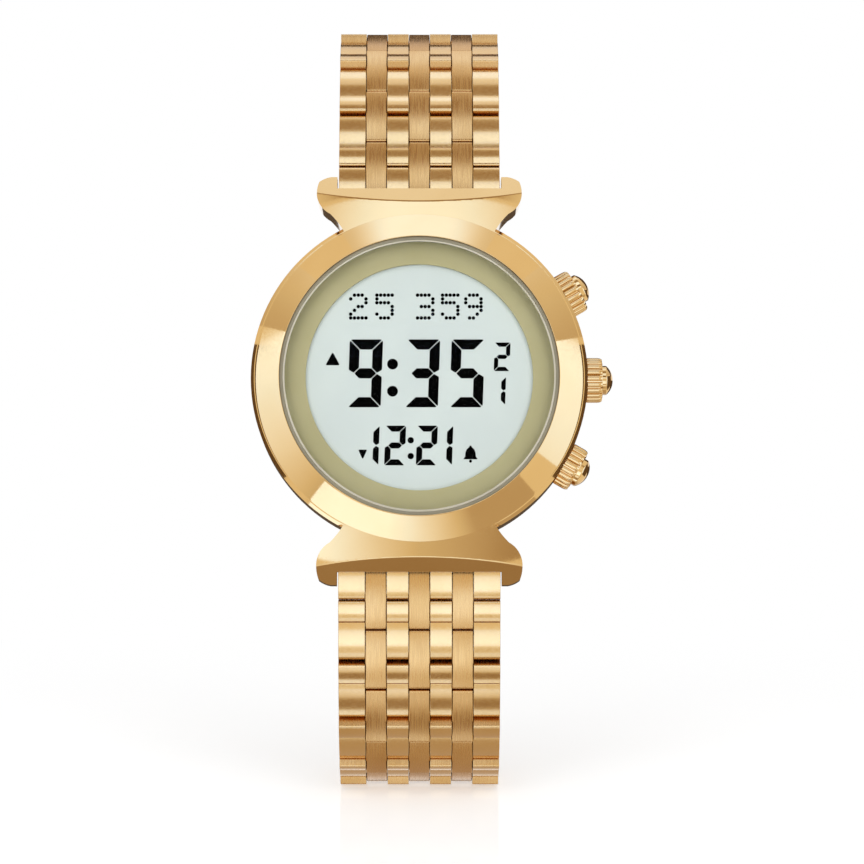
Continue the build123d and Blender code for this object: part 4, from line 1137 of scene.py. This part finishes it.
def link_tree():
    """One link: two outer columns, two inner polished ones, three brushed ones and the web,
    turned to the link's tilt and set on its hinge."""
    tree, add, given = start_group("bracelet link", {
        "Object": ("Left Edge", "Right Edge", "Bead", "Bar", "Web"),
        "Float": ("Bead Centre", "Bar Centre", "Edge Centre"),
        "Vector": ("Place", "Turn"),
        "Material": ("Polished", "Brushed", "Unpolished"),
    })

    def either_side(label):
        """An input's distance across the strap, to its left and to its right."""
        left = add("ShaderNodeMath", (given[label], -1.0), operation="MULTIPLY")
        return [add("ShaderNodeCombineXYZ", [x]) for x in (left, given[label])]

    def row(label, count, reach):
        """Copies of a column from one side to the other across the strap."""
        left, right = either_side(reach)
        ends = {"Start Location": left, "Offset": right, "Count": count}
        line = add("GeometryNodeMeshLine", ends, mode="END_POINTS")
        placed = {"Points": line, "Instance": given[label]}
        return add("GeometryNodeInstanceOnPoints", placed)

    def faces(kind, axis, operation, limit):
        """1 on the faces whose normal or position passes a limit along an axis, either way."""
        part = add("ShaderNodeSeparateXYZ", [add(kind)]).outputs[axis]
        size = add("ShaderNodeMath", [part], operation="ABSOLUTE")
        return add("ShaderNodeMath", (size, limit), operation=operation)

    bright = []
    for label, place in zip(("Left Edge", "Right Edge"), either_side("Edge Centre")):
        moved = {"Geometry": given[label], "Translation": place}
        bright.append(add("GeometryNodeTransform", moved))
    bright += [row("Bead", 2, "Bead Centre"), given["Web"]]
    polished = add("GeometryNodeJoinGeometry", [bright])
    bars = row("Bar", 3, "Bar Centre")
    both = [coated(add, polished, given["Polished"]), coated(add, bars, given["Brushed"])]
    link = add("GeometryNodeJoinGeometry", [both])
    aside = faces("GeometryNodeInputNormal", "X", "GREATER_THAN", SIDE_FACING)
    inner = faces("GeometryNodeInputPosition", "X", "LESS_THAN", OUTSIDE * MM)
    upright = faces("GeometryNodeInputNormal", "Y", "GREATER_THAN", END_FACING)
    # the sides that face into the gaps between columns take the dull finish painted dark as shade;
    # the ends take the brushed one
    shaded_gap_sides = add("ShaderNodeMath", (aside, inner), operation="MULTIPLY")
    for chosen, label in ((upright, "Brushed"), (shaded_gap_sides, "Unpolished")):
        finish = {"Geometry": link, "Selection": chosen, "Material": given[label]}
        link = add("GeometryNodeSetMaterial", finish)
    placed = {"Geometry": link, "Translation": given["Place"], "Rotation": given["Turn"]}
    add("NodeGroupOutput", [add("GeometryNodeTransform", placed)])
    return tree


def link_patterns(first):
    """The pieces of a link for its tree, with flat sides, taken out of the scene."""
    outline = bead_outline(first)
    width = EDGE_WIDTH + SEAM / 2
    pieces = {}
    for label, side in (("Left Edge", -1), ("Right Edge", 1)):
        edge = column(f"{label} column", outline, width, link_buffed)
        pieces[label] = edge if first else drilled(edge, side, width)
    pieces["Bead"] = column("bead column", outline, BEAD_WIDTH + SEAM, link_buffed)
    pieces["Bar"] = column("bar column", bar_outline(), BAR_WIDTH + SEAM, brushed)
    pieces["Web"] = link_web(first)
    for piece in pieces.values():
        for face in piece.data.polygons:
            if abs(face.normal.x) > FLAT_FACING:
                face.use_smooth = False
        bpy.context.scene.collection.objects.unlink(piece)
    return pieces


def hinge_points():
    """Each link's own hinge and the next one along the strap, in metres."""
    where = {j["child"]: Vector(j["pos_m"]) for j in frame["joints"] if j["type"] == "hinge"}
    low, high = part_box("clasp_end_pins")
    last = {"upper": where["clasp_cover"], "lower": (low + high) / 2}
    ends = {}
    for half, end in last.items():
        count = sum(1 for body in bodies if body.startswith(f"{half}_link_"))
        names = [f"{half}_link_{n + 1}" for n in range(count)]
        after = [where[name] for name in names[1:]] + [end]
        ends.update({name: (where[name], next_one) for name, next_one in zip(names, after)})
    return ends


links = link_tree()
usual = link_patterns(False)
under_hood = link_patterns(True)
for name, (own, after) in hinge_points().items():
    along = (after - own).normalized()
    turn = math.atan2(along.z, along.y)
    inputs = {
        **(under_hood if name.endswith("link_1") else usual),
        "Bead Centre": BEAD_CENTRE * MM,
        "Bar Centre": BAR_CENTRE * MM,
        "Edge Centre": (EDGE_CENTRE - SEAM / 4) * MM,
        "Place": tuple(own + along * HINGE * MM),
        "Turn": (turn, 0, 0) if name.startswith("upper") else (-turn, math.pi, 0),
        "Polished": link_buffed,
        "Brushed": brushed,
        "Unpolished": unbuffed_painted_shade,
    }
    hand_in(grow(f"{name}_columns", links, inputs), name, "link_gold", name)


# ---------------- clasp, back and module

for node in ("clasp_cover", "outer_blade", "inner_blade"):
    sheet = bevelled(welded_copy(node, f"{node}_sheet", angle=40), 0.08, angle=45)
    sheet.data.materials.append(clasp_gold)
    hand_in(applied(sheet), node, "brushed_gold", node)

slots = {part["node"]: part["material_slot"] for part in frame["record"]["subparts"]}
for name, node in nodes.items():
    if node.hide_render:
        continue
    finish = SLOT_FINISH[slots[name]]
    if not node.material_slots:
        node.data.materials.append(finish)
    for socket in node.material_slots:
        socket.link = "OBJECT"
        socket.material = finish
